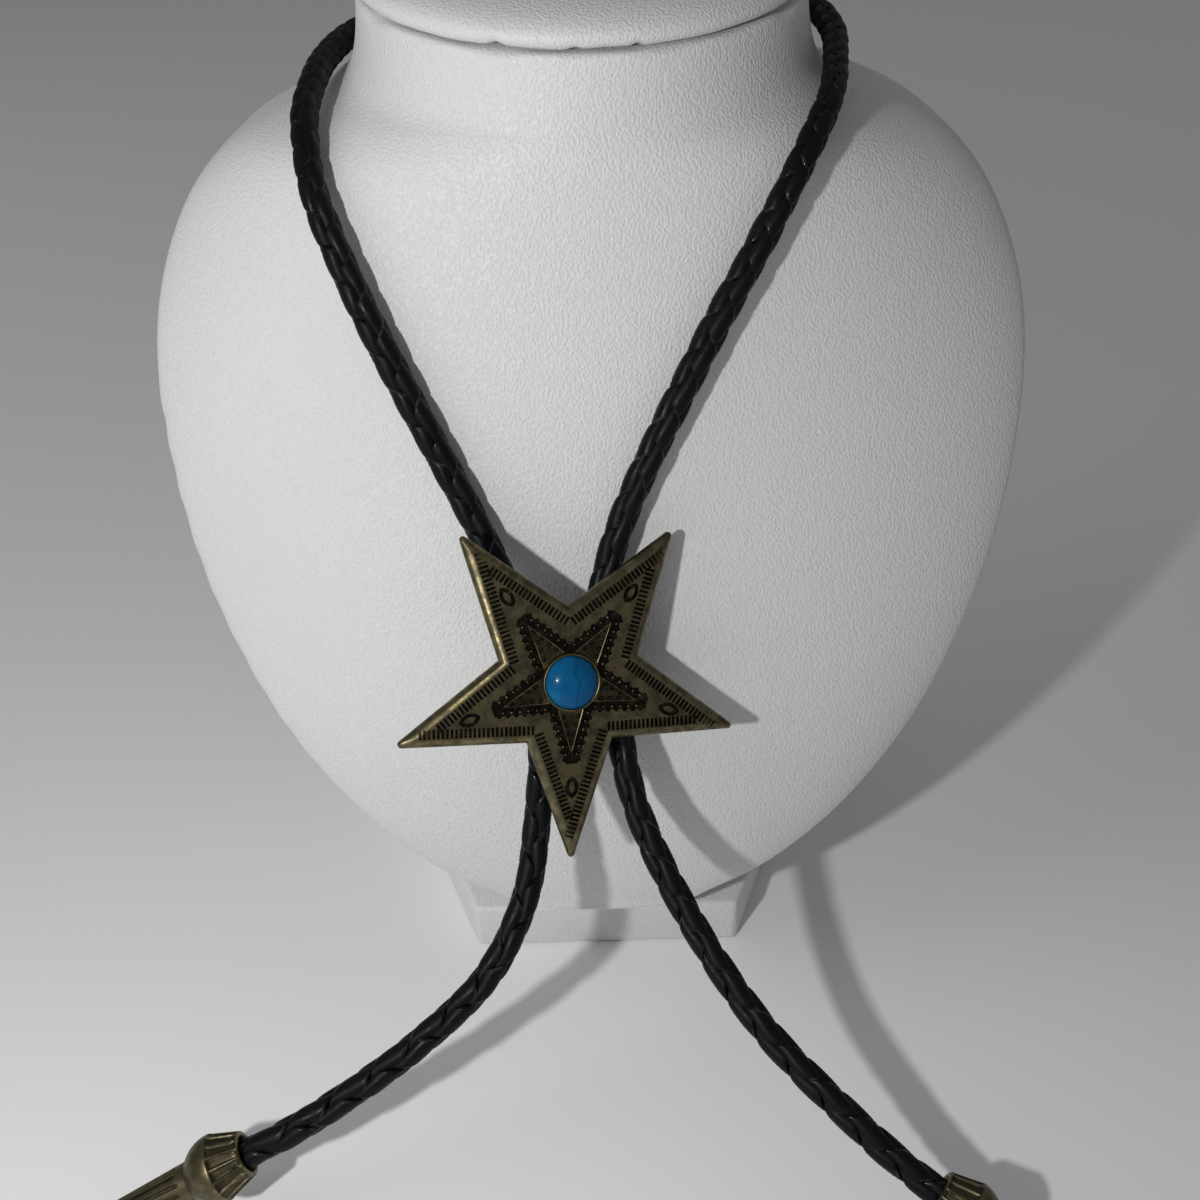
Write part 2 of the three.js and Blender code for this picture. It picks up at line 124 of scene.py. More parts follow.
# rows of (radius, along) turned about Z; radiusAt(radius, along, angle) may carve the turned surface
def turnedMesh(name, rows, segments, radiusAt=None, closed=False):
    verts = []
    rings = []
    for radius, along in rows:
        if radius == 0:
            rings.append([len(verts)] * segments)
            verts.append((0, 0, along))
            continue
        rings.append(list(range(len(verts), len(verts) + segments)))
        for i in range(segments):
            angle = 2 * math.pi * i / segments
            r = radiusAt(radius, along, angle) if radiusAt else radius
            verts.append((r * math.cos(angle), r * math.sin(angle), along))
    faces = []
    pairs = list(zip(rings, rings[1:]))
    if closed:
        pairs.append((rings[-1], rings[0]))
    for low, high in pairs:
        for i in range(segments):
            k = (i + 1) % segments
            corners = [low[i], low[k], high[k], high[i]]
            faces.append(list(dict.fromkeys(corners)))
    return meshFrom(name, verts, faces)


# node trees: short ways to add nodes and sums to any tree
def treeTools(tree):
    def add(kind, sockets=None, **settings):  # gives the node's outputs; a list is many links to one input
        node = tree.nodes.new(kind)
        for key, value in settings.items():
            setattr(node, key, value)
        for key, value in (sockets or {}).items():
            for source in value if isinstance(value, list) else [value]:
                if isinstance(source, bpy.types.NodeSocket):
                    tree.links.new(source, node.inputs[key])
                else:
                    node.inputs[key].default_value = source
        return node.outputs

    def calc(operation, *values):
        return add("ShaderNodeMath", dict(enumerate(values)), operation=operation)[0]

    def vec(operation, *values, scale=None):
        sockets = dict(enumerate(values))
        if scale is not None:
            sockets["Scale"] = scale
        sums = add("ShaderNodeVectorMath", sockets, operation=operation)
        return sums["Value" if operation in ("DOT_PRODUCT", "LENGTH") else "Vector"]

    return add, calc, vec


def newTree(name, kind, inputs, outputs):
    tree = bpy.data.node_groups.new(name, kind)
    for label, socketKind in inputs.items():
        tree.interface.new_socket(name=label, in_out="INPUT", socket_type="NodeSocket" + socketKind)
    for label, socketKind in outputs.items():
        tree.interface.new_socket(name=label, in_out="OUTPUT", socket_type="NodeSocket" + socketKind)
    return tree


def bakeTree(carrier, tree, values, name):  # runs a geometry tree on carrier and keeps a plain mesh
    modifier = carrier.modifiers.new(tree.name, "NODES")
    modifier.node_group = tree
    for item in tree.interface.items_tree:
        if item.in_out == "INPUT" and item.name in values:
            modifier[item.identifier] = values[item.name]
    mesh = seenMesh(carrier)
    mesh.name = name
    carrier.modifiers.remove(modifier)
    bpy.data.objects.remove(carrier)
    return mesh


# camera at the photo's place and angle
view = {
    "place": (0.4 * mm, -226.6 * mm, 213.0 * mm),
    "below": 34.0,  # degrees that it looks down
    "roll": 1.5,  # degrees that the scene leans to the left
    "focalPx": 1298.0,
    "imagePx": 1200.0,
    "sensor": 36.0,
    "clipStart": 5 * mm,
}


def makeCamera():
    data = bpy.data.cameras.new("camera")
    data.sensor_width = view["sensor"]
    data.lens = view["sensor"] * view["focalPx"] / view["imagePx"]
    data.clip_start = view["clipStart"]
    camera = bpy.data.objects.new("camera", data)
    bpy.context.scene.collection.objects.link(camera)
    tilt = Matrix.Rotation(math.radians(90 - view["below"]), 4, "X")
    roll = Matrix.Rotation(math.radians(-view["roll"]), 4, "Z")
    camera.matrix_world = Matrix.Translation(view["place"]) @ tilt @ roll
    bpy.context.scene.camera = camera


makeCamera()
print("camera done")

# slide: its place, and the turns from flat to leaning on the chest
slide = {
    "place": Vector((-4.9, -52.4, 79)) * mm,
    "lean": 27,
    "turn": 16.5,
    "starRoll": -8.7,
    "thickness": 2.1 * mm,
    "seatGap": 0.3 * mm,
}
slideTurn = (Matrix.Rotation(math.radians(slide["turn"]), 4, "Z")
             @ Matrix.Rotation(math.radians(90 - slide["lean"]), 4, "X"))
slideFrame = Matrix.Translation(slide["place"]) @ slideTurn
starFrame = slideFrame @ Matrix.Rotation(math.radians(slide["starRoll"]), 4, "Z")


# shared effects, each a shader group, and short ways to use them
def ramp(add, value, low, high, to=(0.0, 1.0), **settings):  # carries low to high over to another range
    sockets = {"Value": value, "From Min": low, "From Max": high, "To Min": to[0], "To Max": to[1]}
    return add("ShaderNodeMapRange", sockets, **settings)["Result"]


# pebbled leather grain: Height for a bump, and Tone, which is low in the creases, where the colour gets
# painted shade
pebble = {
    "noise": {"Scale": 0.6, "Detail": 1.0, "Roughness": 0.4},
    "heightRange": (0.28, 0.7),
    "toneRange": (0.3, 0.5),
}


def makeGrainGroup():
    tree = newTree("pebbleGrain", "ShaderNodeTree", {"Vector": "Vector", "Cell": "Float"},
                   {"Height": "Float", "Tone": "Float"})
    add, calc, vec = treeTools(tree)
    given = add("NodeGroupInput")
    spot = vec("SCALE", given["Vector"], scale=calc("DIVIDE", 1.0, given["Cell"]))
    hills = add("ShaderNodeTexNoise", {"Vector": spot, **pebble["noise"]})["Fac"]
    height = ramp(add, hills, *pebble["heightRange"], interpolation_type="SMOOTHSTEP")
    add("NodeGroupOutput", {"Height": height, "Tone": ramp(add, hills, *pebble["toneRange"])})
    return tree


# cloudy patches between 0 and 1, for stains, patina and tone
cloudNoise = {"Scale": 1.0, "Detail": 3.0, "Roughness": 0.6}


def makePatchGroup():
    tree = newTree("cloudyPatches", "ShaderNodeTree",
                   {"Vector": "Vector", "Size": "Float", "Low": "Float", "High": "Float"},
                   {"Mask": "Float"})
    add, calc, vec = treeTools(tree)
    given = add("NodeGroupInput")
    spot = vec("SCALE", given["Vector"], scale=calc("DIVIDE", 1.0, given["Size"]))
    cloud = add("ShaderNodeTexNoise", {"Vector": spot, **cloudNoise})["Fac"]
    mask = ramp(add, cloud, given["Low"], given["High"], interpolation_type="SMOOTHSTEP")
    add("NodeGroupOutput", {"Mask": mask})
    return tree


grainGroup = makeGrainGroup()
patchGroup = makePatchGroup()


def pebbles(add, place, cell):
    return add("ShaderNodeGroup", {"Vector": place, "Cell": cell}, node_tree=grainGroup)


def patches(add, place, size, low, high):
    sockets = {"Vector": place, "Size": size, "Low": low, "High": high}
    return add("ShaderNodeGroup", sockets, node_tree=patchGroup)["Mask"]


def objectPlace(add):
    return add("ShaderNodeTexCoord")["Object"]


def painted(add, name):  # a value that was painted on the mesh as it was made
    return add("ShaderNodeAttribute", attribute_name=name)["Fac"]


def bumped(add, height, depth, strength):
    sockets = {"Height": height, "Distance": depth, "Strength": strength}
    return add("ShaderNodeBump", sockets)["Normal"]


def mixColor(add, factor, first, second):
    colors = [c if isinstance(c, bpy.types.NodeSocket) else (*c, 1) for c in (first, second)]
    return add("ShaderNodeMix", {0: factor, 6: colors[0], 7: colors[1]}, data_type="RGBA")[2]


def newMaterial(name, color, sockets):
    material = bpy.data.materials.new(name)
    material.use_nodes = True
    material.diffuse_color = (*color, 1)
    tree = material.node_tree
    shader = tree.nodes["Principled BSDF"]
    for label, value in {"Base Color": (*color, 1), **sockets}.items():
        shader.inputs[label].default_value = value
    return material, tree, shader


def linkFinish(tree, shader, color, rough, normal):
    for label, value in (("Base Color", color), ("Roughness", rough), ("Normal", normal)):
        tree.links.new(value, shader.inputs[label])


# white leatherette of the bust
leatherette = {
    "color": (0.71, 0.705, 0.70),
    # painted shade: the darker colour of the grain's creases
    "creaseColor": (0.66, 0.655, 0.65),
    "stainColor": (0.69, 0.68, 0.665),
    "stain": {"size": 60 * mm, "low": 0.42, "high": 0.72},
    "grainCell": 0.27 * mm,
    "grainStretch": (1.0, 1.0, 0.72),  # bumps stand a little taller than wide
    "grainDepth": 0.085 * mm,
    "grainStrength": 0.9,
    "glossRange": (0.3, 0.9),  # heights of the grain between which it gets glossier
    "roughness": (0.60, 0.46),  # in the creases and on the bumps
}


def makeLeatherette():
    spec = leatherette
    material, tree, shader = newMaterial("leatherette", spec["color"], {})
    add = treeTools(tree)[0]
    place = objectPlace(add)
    tall = add("ShaderNodeMapping", {"Vector": place, "Scale": spec["grainStretch"]})[0]
    grain = pebbles(add, tall, spec["grainCell"])
    stained = mixColor(add, patches(add, place, **spec["stain"]), spec["color"], spec["stainColor"])
    # painted shade: the grain's creases take the darker colour
    toned = mixColor(add, grain["Tone"], spec["creaseColor"], stained)
    rough = ramp(add, grain["Height"], *spec["glossRange"], spec["roughness"])
    normal = bumped(add, grain["Height"], spec["grainDepth"], spec["grainStrength"])
    linkFinish(tree, shader, toned, rough, normal)
    return material


# antique brass of the star, the clip and the tips; recess and rim are painted on their meshes
brass = {
    "field": (0.078, 0.068, 0.042),
    "worn": (0.33, 0.272, 0.142),
    "patina": (0.012, 0.010, 0.008),
    "starWear": 0.48,  # how bright the patches are
    "tipWear": 0.25,
    "patch": {"size": 2.1 * mm, "low": 0.36, "high": 0.68},
    "speck": {"size": 0.9 * mm, "low": 0.45, "high": 0.7},
    "rimWear": 0.45,
    "rimSpecks": 0.7,  # share of the rim's wear that comes in specks
    "dirtSpecks": 0.25,  # share of the dirt that specks take away
    "plainDullness": 0.6,
    "roughness": (0.34, 0.56),  # where it is bright and where it is dull
    "bumpDepth": 0.03 * mm,
    "bumpStrength": 0.35,
}


def makeBrass(name, wear):
    spec = brass
    material, tree, shader = newMaterial(name, spec["field"], {"Metallic": 1.0})
    add, calc = treeTools(tree)[:2]
    place = objectPlace(add)
    patch = patches(add, place, **spec["patch"])
    speck = patches(add, place, **spec["speck"])
    specked = calc("MULTIPLY_ADD", speck, spec["rimSpecks"], 1 - spec["rimSpecks"])
    rubbed = calc("MULTIPLY", calc("MULTIPLY", painted(add, "rim"), specked), spec["rimWear"])
    bright = calc("MULTIPLY_ADD", patch, wear, rubbed)
    metal = mixColor(add, add("ShaderNodeClamp", {"Value": bright})[0], spec["field"], spec["worn"])
    cleaned = calc("MULTIPLY_ADD", speck, -spec["dirtSpecks"], 1.0)
    dirt = calc("MULTIPLY", painted(add, "recess"), cleaned)
    aged = mixColor(add, dirt, metal, spec["patina"])
    dull = calc("MAXIMUM", dirt, calc("SUBTRACT", spec["plainDullness"], bright))
    rough = ramp(add, dull, 0.0, 1.0, spec["roughness"])
    linkFinish(tree, shader, aged, rough, bumped(add, speck, spec["bumpDepth"], spec["bumpStrength"]))
    return material


# black leather of the plait; across runs from edge to edge of a strip and along down its length
blackLeather = {
    "color": (0.0035, 0.0038, 0.005),
    # partly worn leather and partly a painted highlight: the lighter colour of the strips' edges
    "edge": (0.04, 0.04, 0.043),
    "specular": 0.14,
    "wear": {"size": 3 * mm, "low": 0.45, "high": 0.7},
    "edgeRange": (0.88, 0.98),  # where a strip's edge begins and is whole
    "edgeGloss": 2.2,
    "roughness": (0.52, 0.32),  # where it is dull and where it is rubbed
    "fibre": 0.35 * mm,
    "fibreAcross": 1.6 * mm,
    "fibreAlong": 0.12,
    "grainDepth": 0.05 * mm,
    "grainStrength": 0.35,
}


def makeBlackLeather():
    spec = blackLeather
    gloss = {"Specular IOR Level": spec["specular"]}
    material, tree, shader = newMaterial("blackLeather", spec["color"], gloss)
    add, calc = treeTools(tree)[:2]
    across = painted(add, "across")
    edge = ramp(add, calc("ABSOLUTE", across), *spec["edgeRange"])
    worn = patches(add, objectPlace(add), **spec["wear"])
    # the strips' edges get the lighter colour where the wear patches fall: wear, and a painted highlight
    # along the edges
    color = mixColor(add, calc("MULTIPLY", edge, worn), spec["color"], spec["edge"])
    strip = add("ShaderNodeCombineXYZ", {
        "X": calc("MULTIPLY", across, spec["fibreAcross"]),
        "Y": calc("MULTIPLY", painted(add, "along"), spec["fibreAlong"]),
    })[0]
    grain = pebbles(add, strip, spec["fibre"])
    smooth = calc("MAXIMUM", worn, calc("MULTIPLY", edge, spec["edgeGloss"]))
    rough = ramp(add, smooth, 0.0, 1.0, spec["roughness"], clamp=False)
    normal = bumped(add, grain["Height"], spec["grainDepth"], spec["grainStrength"])
    linkFinish(tree, shader, color, rough, normal)
    return material


# turquoise of the stone, with a faint dark vein
turquoise = {
    "color": (0.002, 0.077, 0.195),
    "pale": (0.003, 0.103, 0.24),
    "vein": (0.002, 0.04, 0.115),
    "polish": {"Roughness": 0.25, "Specular IOR Level": 0.08, "Coat Weight": 0.12, "Coat Roughness": 0.05},
    "patch": {"size": 4 * mm, "low": 0.35, "high": 0.7},
    "swayNoise": {"Scale": 250.0, "Detail": 1.0},
    "veinPlace": 1.1 * mm,
    "veinSway": 2.5 * mm,
    "veinWidth": 0.5 * mm,
    "veinStrength": 0.55,
}


def makeTurquoise():
    spec = turquoise
    material, tree, shader = newMaterial("turquoise", spec["color"], spec["polish"])
    add, calc = treeTools(tree)[:2]
    place = objectPlace(add)
    toned = mixColor(add, patches(add, place, **spec["patch"]), spec["color"], spec["pale"])
    centred = add("ShaderNodeMapping", {"Vector": place, "Location": tuple(-slide["place"])})[0]
    sway = add("ShaderNodeTexNoise", {"Vector": centred, **spec["swayNoise"]})["Fac"]
    spot = add("ShaderNodeSeparateXYZ", {"Vector": centred})["X"]
    drift = calc("MULTIPLY", calc("SUBTRACT", sway, 0.5), spec["veinSway"])
    away = calc("ABSOLUTE", calc("SUBTRACT", calc("SUBTRACT", spot, drift), spec["veinPlace"]))
    vein = ramp(add, away, 0.0, spec["veinWidth"], (spec["veinStrength"], 0.0),
                interpolation_type="SMOOTHSTEP")
    tree.links.new(mixColor(add, vein, toned, spec["vein"]), shader.inputs["Base Color"])
    return material


coverMaterial = makeLeatherette()
starBrass = makeBrass("starBrass", brass["starWear"])
tipBrass = makeBrass("tipBrass", brass["tipWear"])
leatherMaterial = makeBlackLeather()
stoneMaterial = makeTurquoise()
print("materials done")


# clip and tips: the sizes and places that the cord's route needs too
clip = {
    "middle": 1.6 * mm,
    "spacing": 13.8 * mm,
    "height": 14 * mm,
    "wall": 0.9 * mm,
    "bore": 3.15 * mm,
    "softEdge": 0.2 * mm,
    "softSteps": 2,
    "segments": 48,
}
sleeveDepth = -slide["thickness"] - slide["seatGap"] - clip["bore"] - clip["wall"]

tips = {
    "slope": 19.3,
    "inside": 8 * mm,
    "places": {
        "left": {"mouth": Vector((-61.7, -96, 13.98)) * mm, "heading": -164.5},
        "right": {"mouth": Vector((52.8, -106.2, 13.98)) * mm, "heading": -35},
    },
}


def tipAxis(place):
    slope = math.radians(tips["slope"])
    heading = math.radians(place["heading"])
    level = math.cos(slope)
    return Vector((level * math.cos(heading), level * math.sin(heading), -math.sin(slope)))


# plait: four strips, two winding each way, over one and under one along the cord's route
plait = {
    "pitch": 15.0 * mm,  # one whole turn of a strip
    "meanRadius": 1.72 * mm,
    "rise": 0.68 * mm,  # how far a strip goes out on top and in underneath
    "sharpness": 1.7,  # how suddenly it goes from the one to the other
    "girthShare": 0.58,  # how far its place round the cord says which it is; its turn says the rest
    "wander": {"Scale": 0.15, "Detail": 1.0},
    "wanderTurn": 0.6,
    "stripWidth": 4.45 * mm,
    "stripThickness": 0.96 * mm,
    "stripCurl": 3.2 * mm,  # radius that a strip's face curls round
    "stripSquareness": 4,
    "topSteps": 7,  # from the middle of a strip's top to its edge
    "underEdge": 0.8,
    "step": 0.56 * mm,
    "pointsPerSpan": 16,
}
plaitRun = (  # share of the cord's length, and there the plait's thickness and the length of its turns
    (0.0, 0.92, 1.12),
    (0.2, 0.92, 0.98),
    (0.28, 0.95, 0.86),
    (0.36, 0.85, 0.6),
    (0.5, 0.83, 0.58),
    (0.64, 0.84, 0.64),
    (0.72, 0.93, 0.86),
    (0.8, 0.91, 0.92),
    (1.0, 0.9, 1.06),
)
strips = [{"way": way, "start": start} for way in (1, -1) for start in (0, 180)]
cordDiameter = 5.5 * mm
leftEndRoute = (
    (-46.3, -90.6, 19.7),
    (-32.8, -84.1, 26),
    (-20.7, -76.7, 34.3),
    (-14, -67.9, 43.8),
    (-11.6, -59.4, 54),
)
neckRoute = (
    (-19.5, -34.5, 97),
    (-33, -24.6, 124),
    (-39.7, -19.6, 138.9),
    (-44.4, -13.7, 151.1),
    (-46.4, -3.7, 159.5),
    (-46.4, 7.8, 163.2),
    (-45.7, 22, 165),
    (-42.5, 36.4, 166.2),
    (-33.3, 49.4, 167.8),
    (-17, 57.6, 169.2),
    (0, 60, 169.8),
    (17, 57.6, 170.2),
    (33, 49, 170.2),
    (41.8, 36, 169.2),
    (44.4, 22, 167.2),
    (43, 8, 164.8),
    (40.2, -5.5, 161.9),
    (35.1, -15.7, 155.7),
    (27.9, -21.5, 143.6),
    (18.8, -26.5, 128),
    (3.9, -34.9, 98),
)
rightEndRoute = (
    (6, -57.6, 54.4),
    (15.3, -71.5, 39.5),
    (26.5, -84.9, 28.5),
    (39, -96, 20.8),
)


def byHand(rows):
    return [Vector(row) * mm for row in rows]


def routePoints():
    reach = clip["height"] / 2 + cordDiameter / 2

    def sleeve(side):
        x = clip["middle"] + side * clip["spacing"] / 2
        return [slideFrame @ Vector((x, y, sleeveDepth)) for y in (-reach, 0, reach)]

    def tipEnd(side):
        place = tips["places"][side]
        return [place["mouth"] + tipAxis(place) * (way * tips["inside"]) for way in (1, -1)]

    return [
        *tipEnd("left"),
        *byHand(leftEndRoute),
        *sleeve(-1),
        *byHand(neckRoute),
        *reversed(sleeve(1)),
        *byHand(rightEndRoute),
        *reversed(tipEnd("right")),
    ]


def smoothRoute(points, perSpan):  # centripetal curve through the points, as the solid cord has
    padded = [points[0] * 2 - points[1], *points, points[-1] * 2 - points[-2]]
    route = []
    for i in range(len(points) - 1):
        p0, p1, p2, p3 = padded[i:i + 4]
        d0, d1, d2 = [math.sqrt((b - a).length) for a, b in ((p0, p1), (p1, p2), (p2, p3))]
        leave = ((p1 - p0) / d0 - (p2 - p0) / (d0 + d1) + (p2 - p1) / d1) * d1
        arrive = ((p2 - p1) / d1 - (p3 - p1) / (d1 + d2) + (p3 - p2) / d2) * d1
        for k in range(perSpan):
            t = k / perSpan
            square = (p2 - p1) * 3 - leave * 2 - arrive
            cube = (p1 - p2) * 2 + leave + arrive
            route.append(p1 + (leave + (square + cube * t) * t) * t)
    route.append(points[-1])
    return route


def runValue(position, column):
    for low, high in zip(plaitRun, plaitRun[1:]):
        if position <= high[0]:
            return low[column] + (high[column] - low[column]) * smoothStep(low[0], high[0], position)
    return plaitRun[-1][column]


def routeMesh():  # the route as a line, with the plait's phase and girth at each point
    route = smoothRoute(routePoints(), plait["pointsPerSpan"])
    spans = [(b - a).length for a, b in zip(route, route[1:])]
    whole = sum(spans)
    phases = [0.0]
    girths = [plaitRun[0][1]]
    done = 0
    for span in spans:
        done += span
        girths.append(runValue(done / whole, 1))
        phases.append(phases[-1] + 2 * math.pi * span / (plait["pitch"] * runValue(done / whole, 2)))
    mesh = linesMesh("plaitRoute", [route])
    setAttribute(mesh, "phase", phases)
    setAttribute(mesh, "girth", girths)
    return mesh


def stripSection():  # a flat band with rounded edges that curls over the cord; X is outwards and Y across
    steps = plait["topSteps"]
    top = [math.sin(math.pi / 2 * k / steps) for k in range(-steps, steps + 1)]
    under = [plait["underEdge"], 0, -plait["underEdge"]]
    verts = []
    across = []
    for face, row in ((1, top), (-1, under)):
        for u in row:
            edge = (1 - abs(u) ** plait["stripSquareness"]) ** (1 / plait["stripSquareness"])
            y = u * plait["stripWidth"] / 2
            x = face * edge * plait["stripThickness"] / 2 - y * y / (2 * plait["stripCurl"])
            verts.append((x, y, 0))
            across.append(u)
    count = len(verts)
    mesh = meshFrom("stripSection", verts, edges=[(i, (i + 1) % count) for i in range(count)])
    setAttribute(mesh, "across", across)
    return mesh


def makePlaitTree():
    tree = newTree("plait", "GeometryNodeTree",
                   {"Geometry": "Geometry", "Section": "Object", "Step": "Float", "Mean Radius": "Float",
                    "Rise": "Float", "Material": "Material"},
                   {"Geometry": "Geometry"})
    add, calc, vec = treeTools(tree)
    given = add("NodeGroupInput")

    def named(name):
        return add("GeometryNodeInputNamedAttribute", {"Name": name}, data_type="FLOAT")["Attribute"]

    def scaled(vector, amount):
        return vec("SCALE", vector, scale=amount)

    def dot(first, second):
        return vec("DOT_PRODUCT", first, second)

    def doubledCosine(angle):
        return calc("COSINE", calc("MULTIPLY", angle, 2.0))

    def shifted(geometry, offset):
        return add("GeometryNodeSetPosition", {"Geometry": geometry, "Offset": offset})[0]

    def capture(geometry, vectors, numbers):
        node = tree.nodes.new("GeometryNodeCaptureAttribute")
        tree.links.new(geometry, node.inputs["Geometry"])
        for kind, wanted in (("VECTOR", vectors), ("FLOAT", numbers)):
            for name, value in wanted.items():
                node.capture_items.new(kind, name)
                tree.links.new(value, node.inputs[name])
        return node.outputs

    route = add("GeometryNodeMeshToCurve", {"Mesh": given["Geometry"]})[0]
    even = add("GeometryNodeResampleCurve", {"Curve": route, "Length": given["Step"]}, mode="LENGTH")[0]
    band = add("GeometryNodeObjectInfo", {"Object": given["Section"]})["Geometry"]
    section = add("GeometryNodeMeshToCurve", {"Mesh": band})[0]
    position = add("GeometryNodeInputPosition")[0]
    ahead = add("GeometryNodeInputTangent")[0]
    normal = add("GeometryNodeInputNormal")["Normal"]
    length = add("GeometryNodeSplineParameter")["Length"]
    phase = named("phase")
    wander = add("ShaderNodeTexNoise", {"W": phase, **plait["wander"]}, noise_dimensions="1D")["Fac"]
    tilt = calc("MULTIPLY", calc("SUBTRACT", wander, 0.5), plait["wanderTurn"])
    held = capture(
        even,
        {"spot": position, "axis": ahead, "normal": normal, "side": vec("CROSS_PRODUCT", ahead, normal)},
        {"tilt": tilt, "phase": phase, "girth": named("girth"), "length": length},
    )
    wound = []
    for strip in strips:
        way = float(strip["way"])
        start = calc("ADD", tilt, math.radians(strip["start"]))
        angle = calc("ADD", calc("MULTIPLY", phase, way), start)
        out = vec("ADD", scaled(held["normal"], calc("COSINE", angle)),
                  scaled(held["side"], calc("SINE", angle)))
        outward = capture(held["Geometry"], {"out": out}, {})
        moved = shifted(outward["Geometry"], scaled(out, given["Mean Radius"]))
        square = vec("SUBTRACT", outward["out"], scaled(ahead, dot(outward["out"], ahead)))
        faced = add("GeometryNodeSetCurveNormal", {"Curve": moved, "Normal": vec("NORMALIZE", square)},
                    mode="FREE")[0]
        swept = add("GeometryNodeCurveToMesh",
                    {"Curve": faced, "Profile Curve": section, "Fill Caps": True})[0]

        # each quarter of the cord's girth belongs to one way of winding, which lies on top there
        reach = vec("SUBTRACT", position, held["spot"])
        flat = vec("SUBTRACT", reach, scaled(held["axis"], dot(reach, held["axis"])))
        radius = vec("LENGTH", flat)
        around = calc("ARCTAN2", dot(flat, held["side"]), dot(flat, held["normal"]))
        turned = calc("SUBTRACT", around, held["tilt"])
        byPlace = calc("MULTIPLY", doubledCosine(turned), plait["girthShare"])
        byTurn = calc("MULTIPLY", doubledCosine(held["phase"]), 1 - plait["girthShare"])
        zone = calc("TANH", calc("MULTIPLY", calc("ADD", byPlace, byTurn), plait["sharpness"]))
        lift = calc("MULTIPLY", zone, calc("MULTIPLY", given["Rise"], way))
        grown = calc("SUBTRACT", calc("MULTIPLY", calc("ADD", radius, lift), held["girth"]), radius)
        shaped = shifted(swept, scaled(vec("NORMALIZE", flat), grown))
        wound.append(add("GeometryNodeStoreNamedAttribute",
                         {"Geometry": shaped, "Name": "along", "Value": held["length"]},
                         data_type="FLOAT", domain="POINT")[0])
    joined = add("GeometryNodeJoinGeometry", {"Geometry": wound})[0]
    real = add("GeometryNodeRealizeInstances", {"Geometry": joined})[0]
    shaded = add("GeometryNodeSetShadeSmooth", {"Geometry": real, "Shade Smooth": True})[0]
    dressed = add("GeometryNodeSetMaterial", {"Geometry": shaded, "Material": given["Material"]})[0]
    add("NodeGroupOutput", {"Geometry": dressed})
    return tree


def makePlait():
    section = addPiece("stripSection", stripSection())
    mesh = bakeTree(addPiece("plaitRoute", routeMesh()), makePlaitTree(), {
        "Section": section,
        "Step": plait["step"],
        "Mean Radius": plait["meanRadius"],
        "Rise": plait["rise"],
        "Material": leatherMaterial,
    }, "braidCord")
    bpy.data.objects.remove(section)
    return addPiece("braidCord", mesh)


finishPiece(makePlait(), "braid_cord")


# star: outline, edge and stamped relief, flat with its face at Z 0 and one arm pointing to -Y
star = {
    "arms": 5,
    "tip": 31.9 * mm,
    "notch": 12.7 * mm,
    "tipRounding": 0.6 * mm,
    "roundSteps": 7,
    "edge": (  # from back to front: depth behind the face, and distance in from the outline
        (2.1, 0.4),
        (1.95, 0.12),
        (1.8, 0),
        (1.1, 0),
        (0.85, 0.09),
        (0.6, 0.26),
        (0.35, 0.52),
        (0.14, 0.86),
        (0.03, 1.18),
        (0, 1.34),
        (0, 1.46),
    ),
}
stamp = {
    "slotPitch": 0.735 * mm,
    "slotWidth": 0.47 * mm,
    "slotLength": 1.6 * mm,
    "slotDepth": 0.38 * mm,
    "slotInset": 1.5 * mm,  # outline to the slots' outer ends
    "longRowStart": 4.7 * mm,  # from the sharp tip of an arm
    "shortRowStart": 8.3 * mm,
    "rowPastNotch": 0.8 * mm,
    "ovalPlace": 18.2 * mm,
    "ovalLength": 3.9 * mm,
    "ovalWidth": 2.3 * mm,
    "ovalLensLength": 2.1 * mm,
    "ovalLensWidth": 1.0 * mm,
    "ovalSteps": 12,
    "innerTip": 14.1 * mm,
    "innerTipHalf": 1 * mm,
    "innerNotch": 6.2 * mm,
    "innerDepth": 0.35 * mm,
    "fieldInset": 1.5 * mm,
    "beadRadius": 0.4 * mm,
    "beadPitch": 1.45 * mm,
    "beadInset": 0.45 * mm,
    "beadFirst": 0.7 * mm,
    "beadsInRow": 6,
    "pitRadius": 0.43 * mm,
    "pitInset": 0.02 * mm,
    "dimpleRadius": 0.42 * mm,
    "dimpleDepth": 0.2 * mm,
    "studRadius": 0.2 * mm,
    "ridgeRadius": 0.13 * mm,
    "roundSides": 14,
    "ballRings": 8,
    "ridgeSides": 8,
}
fieldDimples = (  # along the arm, across it
    (10.6, 0),
    (8.95, 0.5),
    (8.95, -0.5),
    (7.4, 0.88),
    (7.4, -0.88),
    (6.0, 1.3),
    (6.0, -1.3),
)
setting = {
    "outer": 5.1 * mm,
    "wall": 0.45 * mm,
    "lip": 4.74 * mm,
    "lipHalf": 0.2 * mm,
    "shoulder": 0.6 * mm,  # from the rim's top down to where its wall is straight
    "lipSteps": 8,
    "rise": 1.2 * mm,
    "stoneRadius": 4.6 * mm,
    "stoneFoot": 0.5 * mm,
    "stoneRise": 3.2 * mm,
    "stoneSteps": 24,
    "stoneCrease": 50,  # degrees from which an edge stays sharp
    "segments": 96,
}
halfArm = math.pi / star["arms"]
notchAcross = star["notch"] * math.sin(halfArm)
notchAlong = star["notch"] * math.cos(halfArm)
tipHalf = math.atan2(notchAcross, star["tip"] - notchAlong)
edgeFromCentre = star["tip"] * math.sin(tipHalf)
edgeLength = math.hypot(star["tip"] - notchAlong, notchAcross)
armTurns = [Matrix.Rotation(-math.pi / 2 + 2 * halfArm * arm, 4, "Z") for arm in range(star["arms"])]


